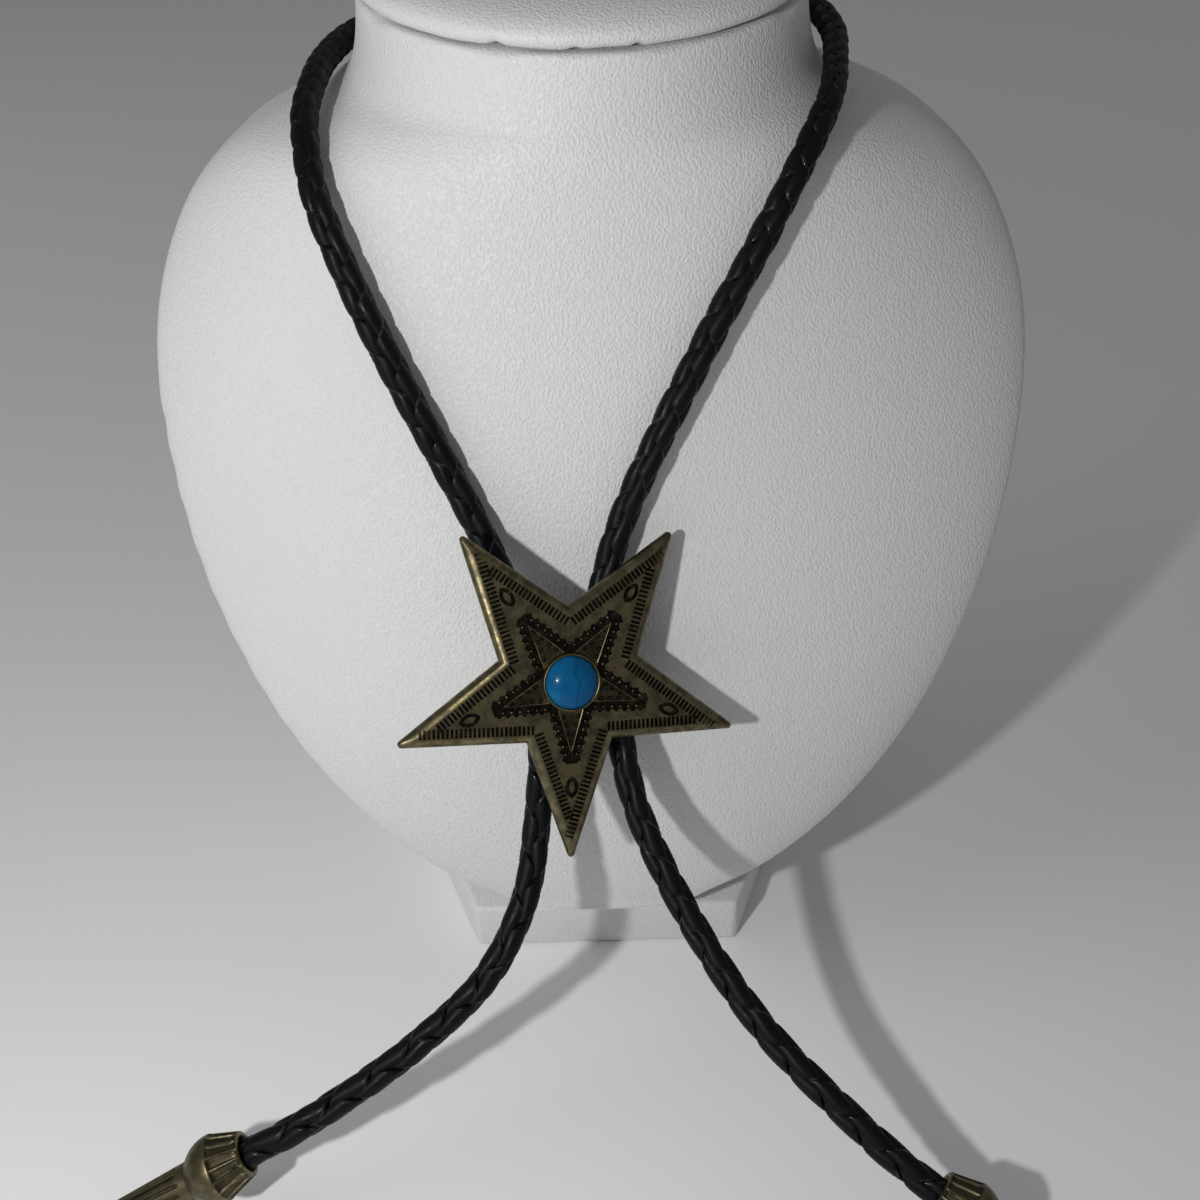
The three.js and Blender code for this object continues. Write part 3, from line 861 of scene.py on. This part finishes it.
def starRing(inset, height):
    scale = (edgeFromCentre - inset) / edgeFromCentre
    centre = Vector((star["tip"] - star["tipRounding"] / math.sin(tipHalf), 0, 0))
    ring = []
    for turn in armTurns:
        for k in range(star["roundSteps"]):
            angle = (2 * k / (star["roundSteps"] - 1) - 1) * (math.pi / 2 - tipHalf)
            corner = centre + Vector((math.cos(angle), math.sin(angle), 0)) * star["tipRounding"]
            ring.append(turn @ (corner * scale))
        ring.append(turn @ (Vector((notchAlong, notchAcross, 0)) * scale))
    return [Vector((p.x, p.y, height)) for p in ring]


def starBlank():
    rings = [starRing(inset * mm, -behind * mm) for behind, inset in star["edge"]]
    count = len(rings[0])
    faces = [list(reversed(range(count)))]
    for level in range(len(rings) - 1):
        faces += bandFaces(level * count, (level + 1) * count, count)
    faces.append([len(rings) * count - count + i for i in range(count)])
    return meshFrom("starBlank", [p for ring in rings for p in ring], faces)


innerNotchPoint = Vector((math.cos(halfArm), math.sin(halfArm), 0)) * stamp["innerNotch"]
innerTipPoint = Vector((stamp["innerTip"], stamp["innerTipHalf"], 0))
innerEdge = innerTipPoint - innerNotchPoint
innerAlong = innerEdge.normalized()
innerInward = Vector((innerAlong.y, -innerAlong.x, 0))


def lens(length, width):  # pointed oval along X
    sag = width / 2
    radius = length * length / (8 * sag) + sag / 2
    half = math.asin(length / 2 / radius)
    count = stamp["ovalSteps"]
    points = []
    for side in (1, -1):
        for i in range(count):
            angle = -half + 2 * half * i / count
            rise = radius * math.cos(angle) - radius + sag
            points.append(Vector((-side * radius * math.sin(angle), side * rise, 0)))
    return points


def besideInner(along, inset, side):  # along the inner star's edge from the notch, and in from the edge
    point = innerNotchPoint + innerAlong * along + innerInward * inset
    return Vector((point.x, side * point.y, 0))


fieldBase = besideInner(0, stamp["fieldInset"], 1)
fieldPoint = fieldBase - innerAlong * (fieldBase.y / innerAlong.y)


def prismMesh(name, outlines, low, high):
    verts = []
    faces = []
    for outline in outlines:
        faces += prismFaces(len(verts), len(outline))
        verts += [p + Vector((0, 0, height)) for height in (low, high) for p in outline]
    return meshFrom(name, verts, faces)


def innerStarPrism():
    outline = []
    for turn in armTurns:
        outline.append(turn @ Vector((stamp["innerTip"], -stamp["innerTipHalf"], 0)))
        outline.append(turn @ innerTipPoint)
        outline.append(turn @ innerNotchPoint)
    return prismMesh("innerStar", [outline], -stamp["innerDepth"], stamp["innerDepth"])


def fieldPrisms():  # the field inside the sunk band on each arm, from its point to under the setting's wall
    underSetting = Vector((setting["outer"] - setting["wall"] / 2, 0, 0))
    outline = [fieldPoint, fieldBase, underSetting, besideInner(0, stamp["fieldInset"], -1)]
    outlines = [[turn @ p for p in outline] for turn in armTurns]
    return prismMesh("fields", outlines, -2 * stamp["innerDepth"], 2 * stamp["innerDepth"])


def ovalRings():  # the groove round the lens on each arm
    verts = []
    faces = []
    outer = lens(stamp["ovalLength"], stamp["ovalWidth"])
    inner = lens(stamp["ovalLensLength"], stamp["ovalLensWidth"])
    loops = ((outer, -1), (outer, 1), (inner, 1), (inner, -1))
    count = len(outer)
    place = Vector((stamp["ovalPlace"], 0, 0))
    for turn in armTurns:
        start = len(verts)
        for level, (loop, side) in enumerate(loops):
            height = Vector((0, 0, side * stamp["innerDepth"]))
            verts += [turn @ (p + place + height) for p in loop]
            above = (level + 1) % len(loops)
            faces += bandFaces(start + level * count, start + above * count, count)
    return meshFrom("ovals", verts, faces)


def slotRows():  # one line down the middle of each row of slots
    inset = stamp["slotInset"] + stamp["slotLength"] / 2
    rows = []
    for turn in armTurns:
        for side, start in ((1, stamp["longRowStart"]), (-1, stamp["shortRowStart"])):
            along = Vector((-math.cos(tipHalf), side * math.sin(tipHalf), 0))
            inward = Vector((-math.sin(tipHalf), -side * math.cos(tipHalf), 0))
            base = Vector((star["tip"], 0, 0)) + inward * inset
            ends = (start, edgeLength + stamp["rowPastNotch"])
            rows.append([turn @ (base + along * s) for s in ends])
    return linesMesh("slotRows", rows)


def borderRows(name, first, inset, height):  # lines along both sides of the inner star's arms
    rows = []
    last = first + stamp["beadPitch"] * (stamp["beadsInRow"] - 1)
    lifted = Vector((0, 0, height))
    for turn in armTurns:
        for side in (1, -1):
            rows.append([turn @ (besideInner(s, inset, side) + lifted) for s in (first, last)])
    return linesMesh(name, rows)


def dimpleSpots():
    spots = []
    for turn in armTurns:
        spots += [turn @ Vector((x * mm, y * mm, 0)) for x, y in fieldDimples]
    return meshFrom("dimpleSpots", spots)


def ridgeRows():  # a thin raised line along the edge of each field
    under = Vector((0, 0, -stamp["ridgeRadius"] / 2))
    rows = []
    for turn in armTurns:
        for side in (1, -1):
            ends = (besideInner(0, stamp["fieldInset"], side), fieldPoint)
            rows.append([turn @ (p + under) for p in ends])
    return linesMesh("ridgeRows", rows)


def stampShapes():  # what is cut into the star's face, and the lines and spots that repeats follow
    first = stamp["beadFirst"]
    meshes = {
        "Inner Star": innerStarPrism(),
        "Fields": fieldPrisms(),
        "Ovals": ovalRings(),
        "Slot Rows": slotRows(),
        "Pit Rows": borderRows("pitRows", first + stamp["beadPitch"] / 2, stamp["pitInset"], 0),
        "Bead Rows": borderRows("beadRows", first, stamp["beadInset"], -stamp["innerDepth"]),
        "Dimple Spots": dimpleSpots(),
        "Ridges": ridgeRows(),
    }
    return {label: addPiece(mesh.name, mesh) for label, mesh in meshes.items()}


stampSizes = {name: stamp[name] for name in (
    "slotPitch", "slotWidth", "slotLength", "slotDepth", "beadPitch", "beadRadius", "pitRadius",
    "innerDepth", "dimpleRadius", "dimpleDepth", "studRadius", "ridgeRadius",
)}


def makeStampTree(shapes):
    inputs = {"Geometry": "Geometry", "Material": "Material"}
    inputs.update({label: "Object" for label in shapes})
    inputs.update({label: "Float" for label in stampSizes})
    tree = newTree("starStamp", "GeometryNodeTree", inputs, {"Geometry": "Geometry"})
    add, calc = treeTools(tree)[:2]
    given = add("NodeGroupInput")

    def shapeOf(label):
        return add("GeometryNodeObjectInfo", {"Object": given[label]})["Geometry"]

    def curvesOf(label):
        return add("GeometryNodeMeshToCurve", {"Mesh": shapeOf(label)})[0]

    def spaced(label, pitch):
        sockets = {"Curve": curvesOf(label), "Length": pitch}
        return add("GeometryNodeResampleCurve", sockets, mode="LENGTH")[0]

    def onPoints(points, shape, **sockets):
        sockets.update(Points=points, Instance=shape)
        return add("GeometryNodeInstanceOnPoints", sockets)[0]

    def roundCutters(points, radius, depth):
        drill = add("GeometryNodeMeshCylinder", {"Vertices": stamp["roundSides"], "Radius": radius,
                                                 "Depth": calc("MULTIPLY", depth, 2.0)})
        return onPoints(points, drill["Mesh"])

    def balls(points, radius):
        ball = add("GeometryNodeMeshUVSphere", {"Segments": stamp["roundSides"], "Rings": stamp["ballRings"],
                                                "Radius": radius})
        return onPoints(points, ball["Mesh"])

    def realized(shape):
        return add("GeometryNodeRealizeInstances", {"Geometry": shape})[0]

    def cutFrom(whole, cutters):
        sockets = {"Mesh 1": whole, "Mesh 2": [realized(shape) for shape in cutters]}
        return add("GeometryNodeMeshBoolean", sockets, operation="DIFFERENCE", solver="EXACT")["Mesh"]

    size = add("ShaderNodeCombineXYZ", {"X": given["slotWidth"], "Y": given["slotLength"],
                                        "Z": calc("MULTIPLY", given["slotDepth"], 2.0)})[0]
    cutter = add("GeometryNodeMeshCube", {"Size": size})["Mesh"]
    ahead = add("GeometryNodeInputTangent")[0]
    turned = add("FunctionNodeAlignRotationToVector", {"Vector": ahead}, axis="X")[0]
    slots = onPoints(spaced("Slot Rows", given["slotPitch"]), cutter, Rotation=turned)
    band = cutFrom(shapeOf("Inner Star"), [shapeOf("Fields")])
    pits = roundCutters(spaced("Pit Rows", given["beadPitch"]), given["pitRadius"], given["innerDepth"])
    dimples = roundCutters(shapeOf("Dimple Spots"), given["dimpleRadius"], given["dimpleDepth"])
    stamped = cutFrom(given["Geometry"], [slots, band, pits, dimples, shapeOf("Ovals")])
    beads = balls(spaced("Bead Rows", given["beadPitch"]), given["beadRadius"])
    sunk = add("ShaderNodeCombineXYZ", {"Z": calc("MULTIPLY", given["dimpleDepth"], -1.0)})[0]
    low = add("GeometryNodeSetPosition", {"Geometry": shapeOf("Dimple Spots"), "Offset": sunk})[0]
    studs = balls(low, given["studRadius"])
    wire = add("GeometryNodeCurvePrimitiveCircle", {"Resolution": stamp["ridgeSides"],
                                                    "Radius": given["ridgeRadius"]})["Curve"]
    ridges = add("GeometryNodeCurveToMesh", {"Curve": curvesOf("Ridges"), "Profile Curve": wire,
                                             "Fill Caps": True})[0]
    whole = realized(add("GeometryNodeJoinGeometry", {"Geometry": [stamped, beads, studs, ridges]})[0])
    dressed = add("GeometryNodeSetMaterial", {"Geometry": whole, "Material": given["Material"]})[0]
    add("NodeGroupOutput", {"Geometry": dressed})
    return tree


def onArm(point):  # distance from the star's centre, and angle from the middle of the nearest arm
    angle = math.atan2(point.y, point.x) + math.pi / 2
    return math.hypot(point.x, point.y), abs((angle + halfArm) % (2 * halfArm) - halfArm)


def insetOf(point):  # distance in from the star's outline
    radius, angle = onArm(point)
    return edgeFromCentre - radius * math.sin(tipHalf + angle)


def innerShare(point):  # 1 on the inner star's outline and less inside it
    radius, angle = onArm(point)
    tip = stamp["innerTip"]
    notch = stamp["innerNotch"]
    reach = tip * notch * math.sin(halfArm) / (tip * math.sin(angle) + notch * math.sin(halfArm - angle))
    return radius / reach


# what is dark and what is rubbed on the star
starWear = {
    "onFace": 0.005 * mm,  # still counts as the flat face
    "faceTilt": 0.9,
    "innerReach": 1.02,  # the inner star with a little round it
    "fieldDirt": 0.75,
    "beadDirt": 0.6,
    "hollow": (-0.12 * mm, 0.1 * mm),  # depths between which a hollow gets dark
    "cleanInset": 1.47 * mm,  # the edge, which stays clean
    "rimInset": 1.44 * mm,
    "crest": (0.7 * mm, 1.25 * mm),  # distances in from the outline over which the edge gets bright
    "crestLeast": 0.3,
    "settingRim": 0.7,
    "proudRim": 0.2,
    "settingReach": 0.05 * mm,
    "settingFoot": -0.1 * mm,
}


def wearAt(spot, face):  # recess and rim at one corner of a face
    spec = starWear
    inset = insetOf(spot)
    near = math.hypot(spot.x, spot.y) < setting["outer"] + spec["settingReach"]
    onSetting = near and spot.z > spec["settingFoot"]
    level = abs(face.normal.z) > spec["faceTilt"] and abs(face.center.z) < spec["onFace"]
    proud = spot.z > spec["onFace"]
    inside = innerShare(spot) < spec["innerReach"]
    recess = smoothStep(*spec["hollow"], -spot.z)
    if inset < spec["cleanInset"] or onSetting:
        recess = 0.0
    elif level:
        recess = spec["fieldDirt"] if inside else 0.0
    elif proud and inside:
        recess = spec["beadDirt"]
    rim = spec["proudRim"] if proud else 0.0
    if onSetting:
        rim = spec["settingRim"]
    elif inset < spec["rimInset"]:
        rim = spec["crestLeast"] + (1 - spec["crestLeast"]) * smoothStep(*spec["crest"], inset)
    return recess, rim


def makeBezel():
    inner = setting["outer"] - setting["wall"]
    foot = -stamp["innerDepth"] - slide["seatGap"]
    shoulder = setting["rise"] - setting["shoulder"]
    rows = [(inner, foot), (setting["outer"], foot), (setting["outer"], shoulder)]
    for k in range(setting["lipSteps"] + 1):
        angle = math.pi * k / setting["lipSteps"]
        radius = setting["lip"] + setting["lipHalf"] * math.cos(angle)
        rows.append((radius, setting["rise"] + setting["lipHalf"] * (math.sin(angle) - 1)))
    rows.append((inner, shoulder))
    return turnedMesh("bezel", rows, setting["segments"], closed=True)


def makeStar():
    shapes = stampShapes()
    blank = addPiece("starBlank", starBlank())
    values = {**shapes, **stampSizes, "Material": starBrass}
    plate = bakeTree(blank, makeStampTree(shapes), values, "stampedPlate")
    for shape in shapes.values():
        bpy.data.objects.remove(shape)
    mesh = joinMeshes("starPlate", [plate, makeBezel()])
    mesh.materials.append(starBrass)
    smoothByAngle(mesh)
    wear = [wearAt(mesh.vertices[i].co, face) for face in mesh.polygons for i in face.vertices]
    setAttribute(mesh, "recess", [recess for recess, rim in wear], "CORNER")
    setAttribute(mesh, "rim", [rim for recess, rim in wear], "CORNER")
    mesh.transform(starFrame)
    return addPiece("starPlate", mesh)


finishPiece(makeStar(), "star_plate")


def makeStone():
    rows = [(0, 0), (setting["stoneRadius"], 0)]
    for k in range(setting["stoneSteps"]):
        angle = math.pi / 2 * k / setting["stoneSteps"]
        along = setting["stoneFoot"] + (setting["stoneRise"] - setting["stoneFoot"]) * math.sin(angle)
        rows.append((setting["stoneRadius"] * math.cos(angle), along))
    rows.append((0, setting["stoneRise"]))
    mesh = turnedMesh("turquoiseStone", rows, setting["segments"])
    smoothByAngle(mesh, setting["stoneCrease"])
    mesh.materials.append(stoneMaterial)
    mesh.transform(starFrame)
    return addPiece("turquoiseStone", mesh)


finishPiece(makeStone(), "turquoise_stone")


# clip behind the star: two sleeves on a plate
def makeClip():
    outer = clip["bore"] + clip["wall"]
    half = clip["height"] / 2
    soft = clip["softEdge"]
    rows = [
        (clip["bore"], -half),
        (outer - soft, -half),
        (outer, -half + soft),
        (outer, half - soft),
        (outer - soft, half),
        (clip["bore"], half),
    ]
    shapes = []
    for side in (-1, 1):
        sleeve = turnedMesh("sleeve", rows, clip["segments"], closed=True)
        sleeve.transform(Matrix.Rotation(-math.pi / 2, 4, "X"))
        x = clip["middle"] + side * clip["spacing"] / 2
        sleeve.transform(Matrix.Translation((x, 0, sleeveDepth)))
        shapes.append(sleeve)
    bm = bmesh.new()
    face = -slide["thickness"] - slide["seatGap"]
    sizes = Matrix.Diagonal((clip["spacing"], clip["height"], clip["wall"], 1))
    middle = Matrix.Translation((clip["middle"], 0, face - clip["wall"] / 2))
    bmesh.ops.create_cube(bm, size=1, matrix=middle @ sizes)
    bmesh.ops.bevel(bm, geom=bm.edges[:], offset=soft, segments=clip["softSteps"], affect="EDGES")
    mesh = joinMeshes("slideClip", [*shapes, meshOf(bm, "clipPlate")])
    smoothByAngle(mesh)
    mesh.materials.append(starBrass)
    mesh.transform(slideFrame)
    return addPiece("slideClip", mesh)


finishPiece(makeClip(), "slide_clip")


# tips: a fluted collar, a smooth shoulder and a long lined cone
tipForm = {
    "profile": (  # distance from the mouth, radius
        (0, 3.7),
        (0.15, 3.9),
        (0.4, 4.0),
        (4.9, 5.6),
        (5.1, 5.72),
        (5.3, 5.75),
        (6, 5.71),
        (6.7, 5.58),
        (7.4, 5.36),
        (8.1, 5.03),
        (8.7, 4.65),
        (9.3, 4.15),
        (9.7, 3.76),
        (10.1, 3.35),
        (36, 1.9),
        (36.8, 1.75),
        (37.4, 1.4),
        (37.8, 0.85),
    ),
    "end": 38 * mm,
    "bore": 3.05 * mm,
    "boreDepth": 9 * mm,
    "boreMargin": 0.2 * mm,  # nothing is carved this near the bore
    "mouthBevel": (0.15 * mm, 0.2 * mm),  # outwards, and into the bore
    "rowStep": 0.4 * mm,
    "segments": 240,
    "crease": 40,
    "grooveSlope": 0.06,
    "grooveFade": 0.35 * mm,
    "flutes": 16,
    "fluteFrom": 0.55 * mm,
    "fluteTo": 4.75 * mm,
    "fluteShare": 0.76,
    "fluteDepth": 0.32 * mm,
    "lines": 12,
    "lineFrom": 12 * mm,
    "lineTo": 33 * mm,
    "lineShare": 0.4,
    "lineDepth": 0.25 * mm,
    "collarEnd": (5.3 * mm, 5.9 * mm),  # where the collar's bright wear fades
    "fluteDirt": 0.3,
    "cornerDirt": 0.6,
    "lineDirt": 0.55,
    "coneRim": 0.25,
}


def groove(angle, count, share):  # 1 in a groove and 0 on a ridge, with short slopes
    place = abs((angle * count / (2 * math.pi)) % 1 - 0.5)
    slope = tipForm["grooveSlope"]
    return 1 - smoothStep(share / 2 - slope, share / 2 + slope, place)


def endFade(along, low, high):
    fade = tipForm["grooveFade"]
    return smoothStep(low - fade, low, along) * (1 - smoothStep(high, high + fade, along))


def tipCut(along, angle):
    spec = tipForm
    flute = groove(angle, spec["flutes"], spec["fluteShare"])
    line = groove(angle, spec["lines"], spec["lineShare"])
    flute *= endFade(along, spec["fluteFrom"], spec["fluteTo"])
    line *= endFade(along, spec["lineFrom"], spec["lineTo"])
    return flute, line


def tipWear(spot):  # recess and rim at one point of a tip
    spec = tipForm
    flute, line = tipCut(spot.z, math.atan2(spot.y, spot.x))
    onCone = 1 - endFade(spot.z, spec["fluteFrom"], spec["fluteTo"])
    onCollar = 1 - smoothStep(*spec["collarEnd"], spot.z)
    corner = 4 * flute * (1 - flute)
    recess = max(spec["fluteDirt"] * flute + spec["cornerDirt"] * corner, spec["lineDirt"] * line)
    rim = max(onCollar * (1 - flute), spec["coneRim"] * (1 - line) * onCone)
    return recess, rim


def makeTip(side):
    spec = tipForm
    place = tips["places"][side]
    bore = spec["bore"]
    widened, deep = spec["mouthBevel"]
    outside = [(radius * mm, along * mm) for along, radius in spec["profile"]]
    rows = [(0, spec["boreDepth"]), (bore, spec["boreDepth"]), (bore, deep), (bore + widened, 0)]
    for (r0, a0), (r1, a1) in zip(outside, outside[1:]):
        steps = max(1, round((a1 - a0) / spec["rowStep"]))
        rows += [(r0 + (r1 - r0) * k / steps, a0 + (a1 - a0) * k / steps) for k in range(steps)]
    rows += [outside[-1], (0, spec["end"])]

    def carved(radius, along, angle):
        margin = spec["boreMargin"]
        if radius < bore + margin and along < spec["boreDepth"] + margin:
            return radius
        flute, line = tipCut(along, angle)
        return radius - flute * spec["fluteDepth"] - line * spec["lineDepth"]

    name = "tip" + side.capitalize()
    mesh = turnedMesh(name, rows, spec["segments"], carved)
    smoothByAngle(mesh, spec["crease"])
    wear = [tipWear(vertex.co) for vertex in mesh.vertices]
    setAttribute(mesh, "recess", [recess for recess, rim in wear])
    setAttribute(mesh, "rim", [rim for recess, rim in wear])
    mesh.materials.append(tipBrass)
    turn = Vector((0, 0, 1)).rotation_difference(tipAxis(place)).to_matrix().to_4x4()
    mesh.transform(Matrix.Translation(place["mouth"]) @ turn)
    return addPiece(name, mesh)


for tipSide in tips["places"]:
    finishPiece(makeTip(tipSide), "tip_" + tipSide)


# bust: smooth covered forms over the solids' own shapes
bust = {
    "weld": 0.01 * mm,
    "joinBend": 50,  # degrees up to which two triangles become one face
    "joinSkew": 70,
    "bodyLevels": 2,
    "capLevels": 3,
}


def coveredCopy(node, name, levels):
    bm = bmesh.new()
    bm.from_mesh(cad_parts[node].data)
    bmesh.ops.remove_doubles(bm, verts=bm.verts, dist=bust["weld"])
    bmesh.ops.join_triangles(bm, faces=bm.faces, angle_face_threshold=math.radians(bust["joinBend"]),
                             angle_shape_threshold=math.radians(bust["joinSkew"]))
    mesh = meshOf(bm, name)
    for face in mesh.polygons:
        face.use_smooth = True
    mesh.materials.clear()
    mesh.materials.append(coverMaterial)
    piece = addPiece(name, mesh)
    smooth = piece.modifiers.new("smooth", "SUBSURF")
    smooth.levels = levels
    smooth.render_levels = levels
    covered = seenMesh(piece)
    piece.modifiers.clear()
    piece.data = covered
    return piece


finishPiece(coveredCopy("bust_body", "bustBody", bust["bodyLevels"]), "bust_body")

# lower edge of the neck's cap, where the cover is tucked in unevenly
capEdge = {
    "reach": 4 * mm,  # height over which the unevenness dies away
    "wave": 0.3 * mm,
    "waves": 5.0,
    "nicks": (  # degrees from the front, depth in mm, half width in degrees
        (-21, 0.55, 1.6),
        (-2, 0.4, 1.3),
        (13, 0.5, 1.1),
    ),
}


def tuckEdge(piece):
    verts = piece.data.vertices
    low = min(v.co.z for v in verts)
    middle = sum((v.co for v in verts), Vector()) / len(verts)
    for vertex in verts:
        fade = 1 - smoothStep(low, low + capEdge["reach"], vertex.co.z)
        if fade == 0:
            continue
        angle = math.atan2(vertex.co.x - middle.x, middle.y - vertex.co.y)
        spot = Vector((math.sin(angle), math.cos(angle), 0)) * capEdge["waves"]
        rise = capEdge["wave"] * noise.noise(spot)
        for place, depth, half in capEdge["nicks"]:
            rise += depth * mm * math.exp(-((math.degrees(angle) - place) / half) ** 2)
        vertex.co.z += rise * fade


neckCap = coveredCopy("neck_cap", "neckCap", bust["capLevels"])
tuckEdge(neckCap)
finishPiece(neckCap, "neck_cap")


# foot plate with soft edges
foot = {
    "height": 11 * mm,
    "frontY": -40 * mm,
    "backY": 43.8 * mm,
    "frontHalf": 27 * mm,
    "backHalf": 60 * mm,
    "bevel": 1.1 * mm,
    "bevelSteps": 4,
    "crease": 40,
}


def makeFoot():
    spec = foot
    bm = bmesh.new()
    corners = ((-spec["frontHalf"], spec["frontY"]), (spec["frontHalf"], spec["frontY"]),
               (spec["backHalf"], spec["backY"]), (-spec["backHalf"], spec["backY"]))
    verts = [bm.verts.new((x, y, z)) for z in (0, spec["height"]) for x, y in corners]
    for face in prismFaces(0, len(corners)):
        bm.faces.new([verts[i] for i in face])
    bmesh.ops.bevel(bm, geom=bm.edges[:], offset=spec["bevel"], segments=spec["bevelSteps"], profile=0.5,
                    affect="EDGES")
    mesh = meshOf(bm, "bustFoot")
    smoothByAngle(mesh, spec["crease"])
    mesh.materials.append(coverMaterial)
    return addPiece("bustFoot", mesh)


finishPiece(makeFoot(), "bust_foot")


# plain pale floor and soft studio light
studio = {
    "floorSize": 6.0,
    "floorColor": (0.87, 0.87, 0.865),
    "floorRoughness": 0.7,
    "worldColor": (0.95, 0.97, 1.0),
    "worldStrength": 0.2,
    "key": {"kind": "POINT", "place": (-0.115, -0.25, 0.208), "size": 0.014, "power": 1.6, "glossy": True},
    "fill": {"kind": "AREA", "place": (-0.95, -0.1, 0.75), "size": 0.9, "power": 2.2, "glossy": False},
    "aim": (-0.005, -0.03, 0.085),
}


def addLight(name, spec):
    data = bpy.data.lights.new(name, spec["kind"])
    data.energy = spec["power"]
    if spec["kind"] == "POINT":
        data.shadow_soft_size = spec["size"] / 2
    else:
        data.shape = "DISK"
        data.size = spec["size"]
    lamp = bpy.data.objects.new(name, data)
    bpy.context.scene.collection.objects.link(lamp)
    lamp.location = spec["place"]
    lamp.visible_camera = False
    lamp.visible_glossy = spec["glossy"]
    lamp.rotation_euler = (Vector(studio["aim"]) - lamp.location).to_track_quat("-Z", "Y").to_euler()


def makeStudio():
    half = studio["floorSize"] / 2
    corners = [(-half, -half, 0), (half, -half, 0), (half, half, 0), (-half, half, 0)]
    floor = addPiece("floor", meshFrom("floor", corners, [[0, 1, 2, 3]]))
    roughness = {"Roughness": studio["floorRoughness"]}
    material = newMaterial("floorPaint", studio["floorColor"], roughness)[0]
    floor.data.materials.append(material)
    addLight("key", studio["key"])
    addLight("fill", studio["fill"])
    world = bpy.data.worlds.new("studio")
    world.use_nodes = True
    background = world.node_tree.nodes["Background"]
    background.inputs["Color"].default_value = (*studio["worldColor"], 1)
    background.inputs["Strength"].default_value = studio["worldStrength"]
    bpy.context.scene.world = world
    bpy.context.scene.view_settings.view_transform = "Standard"


makeStudio()
print("studio done")
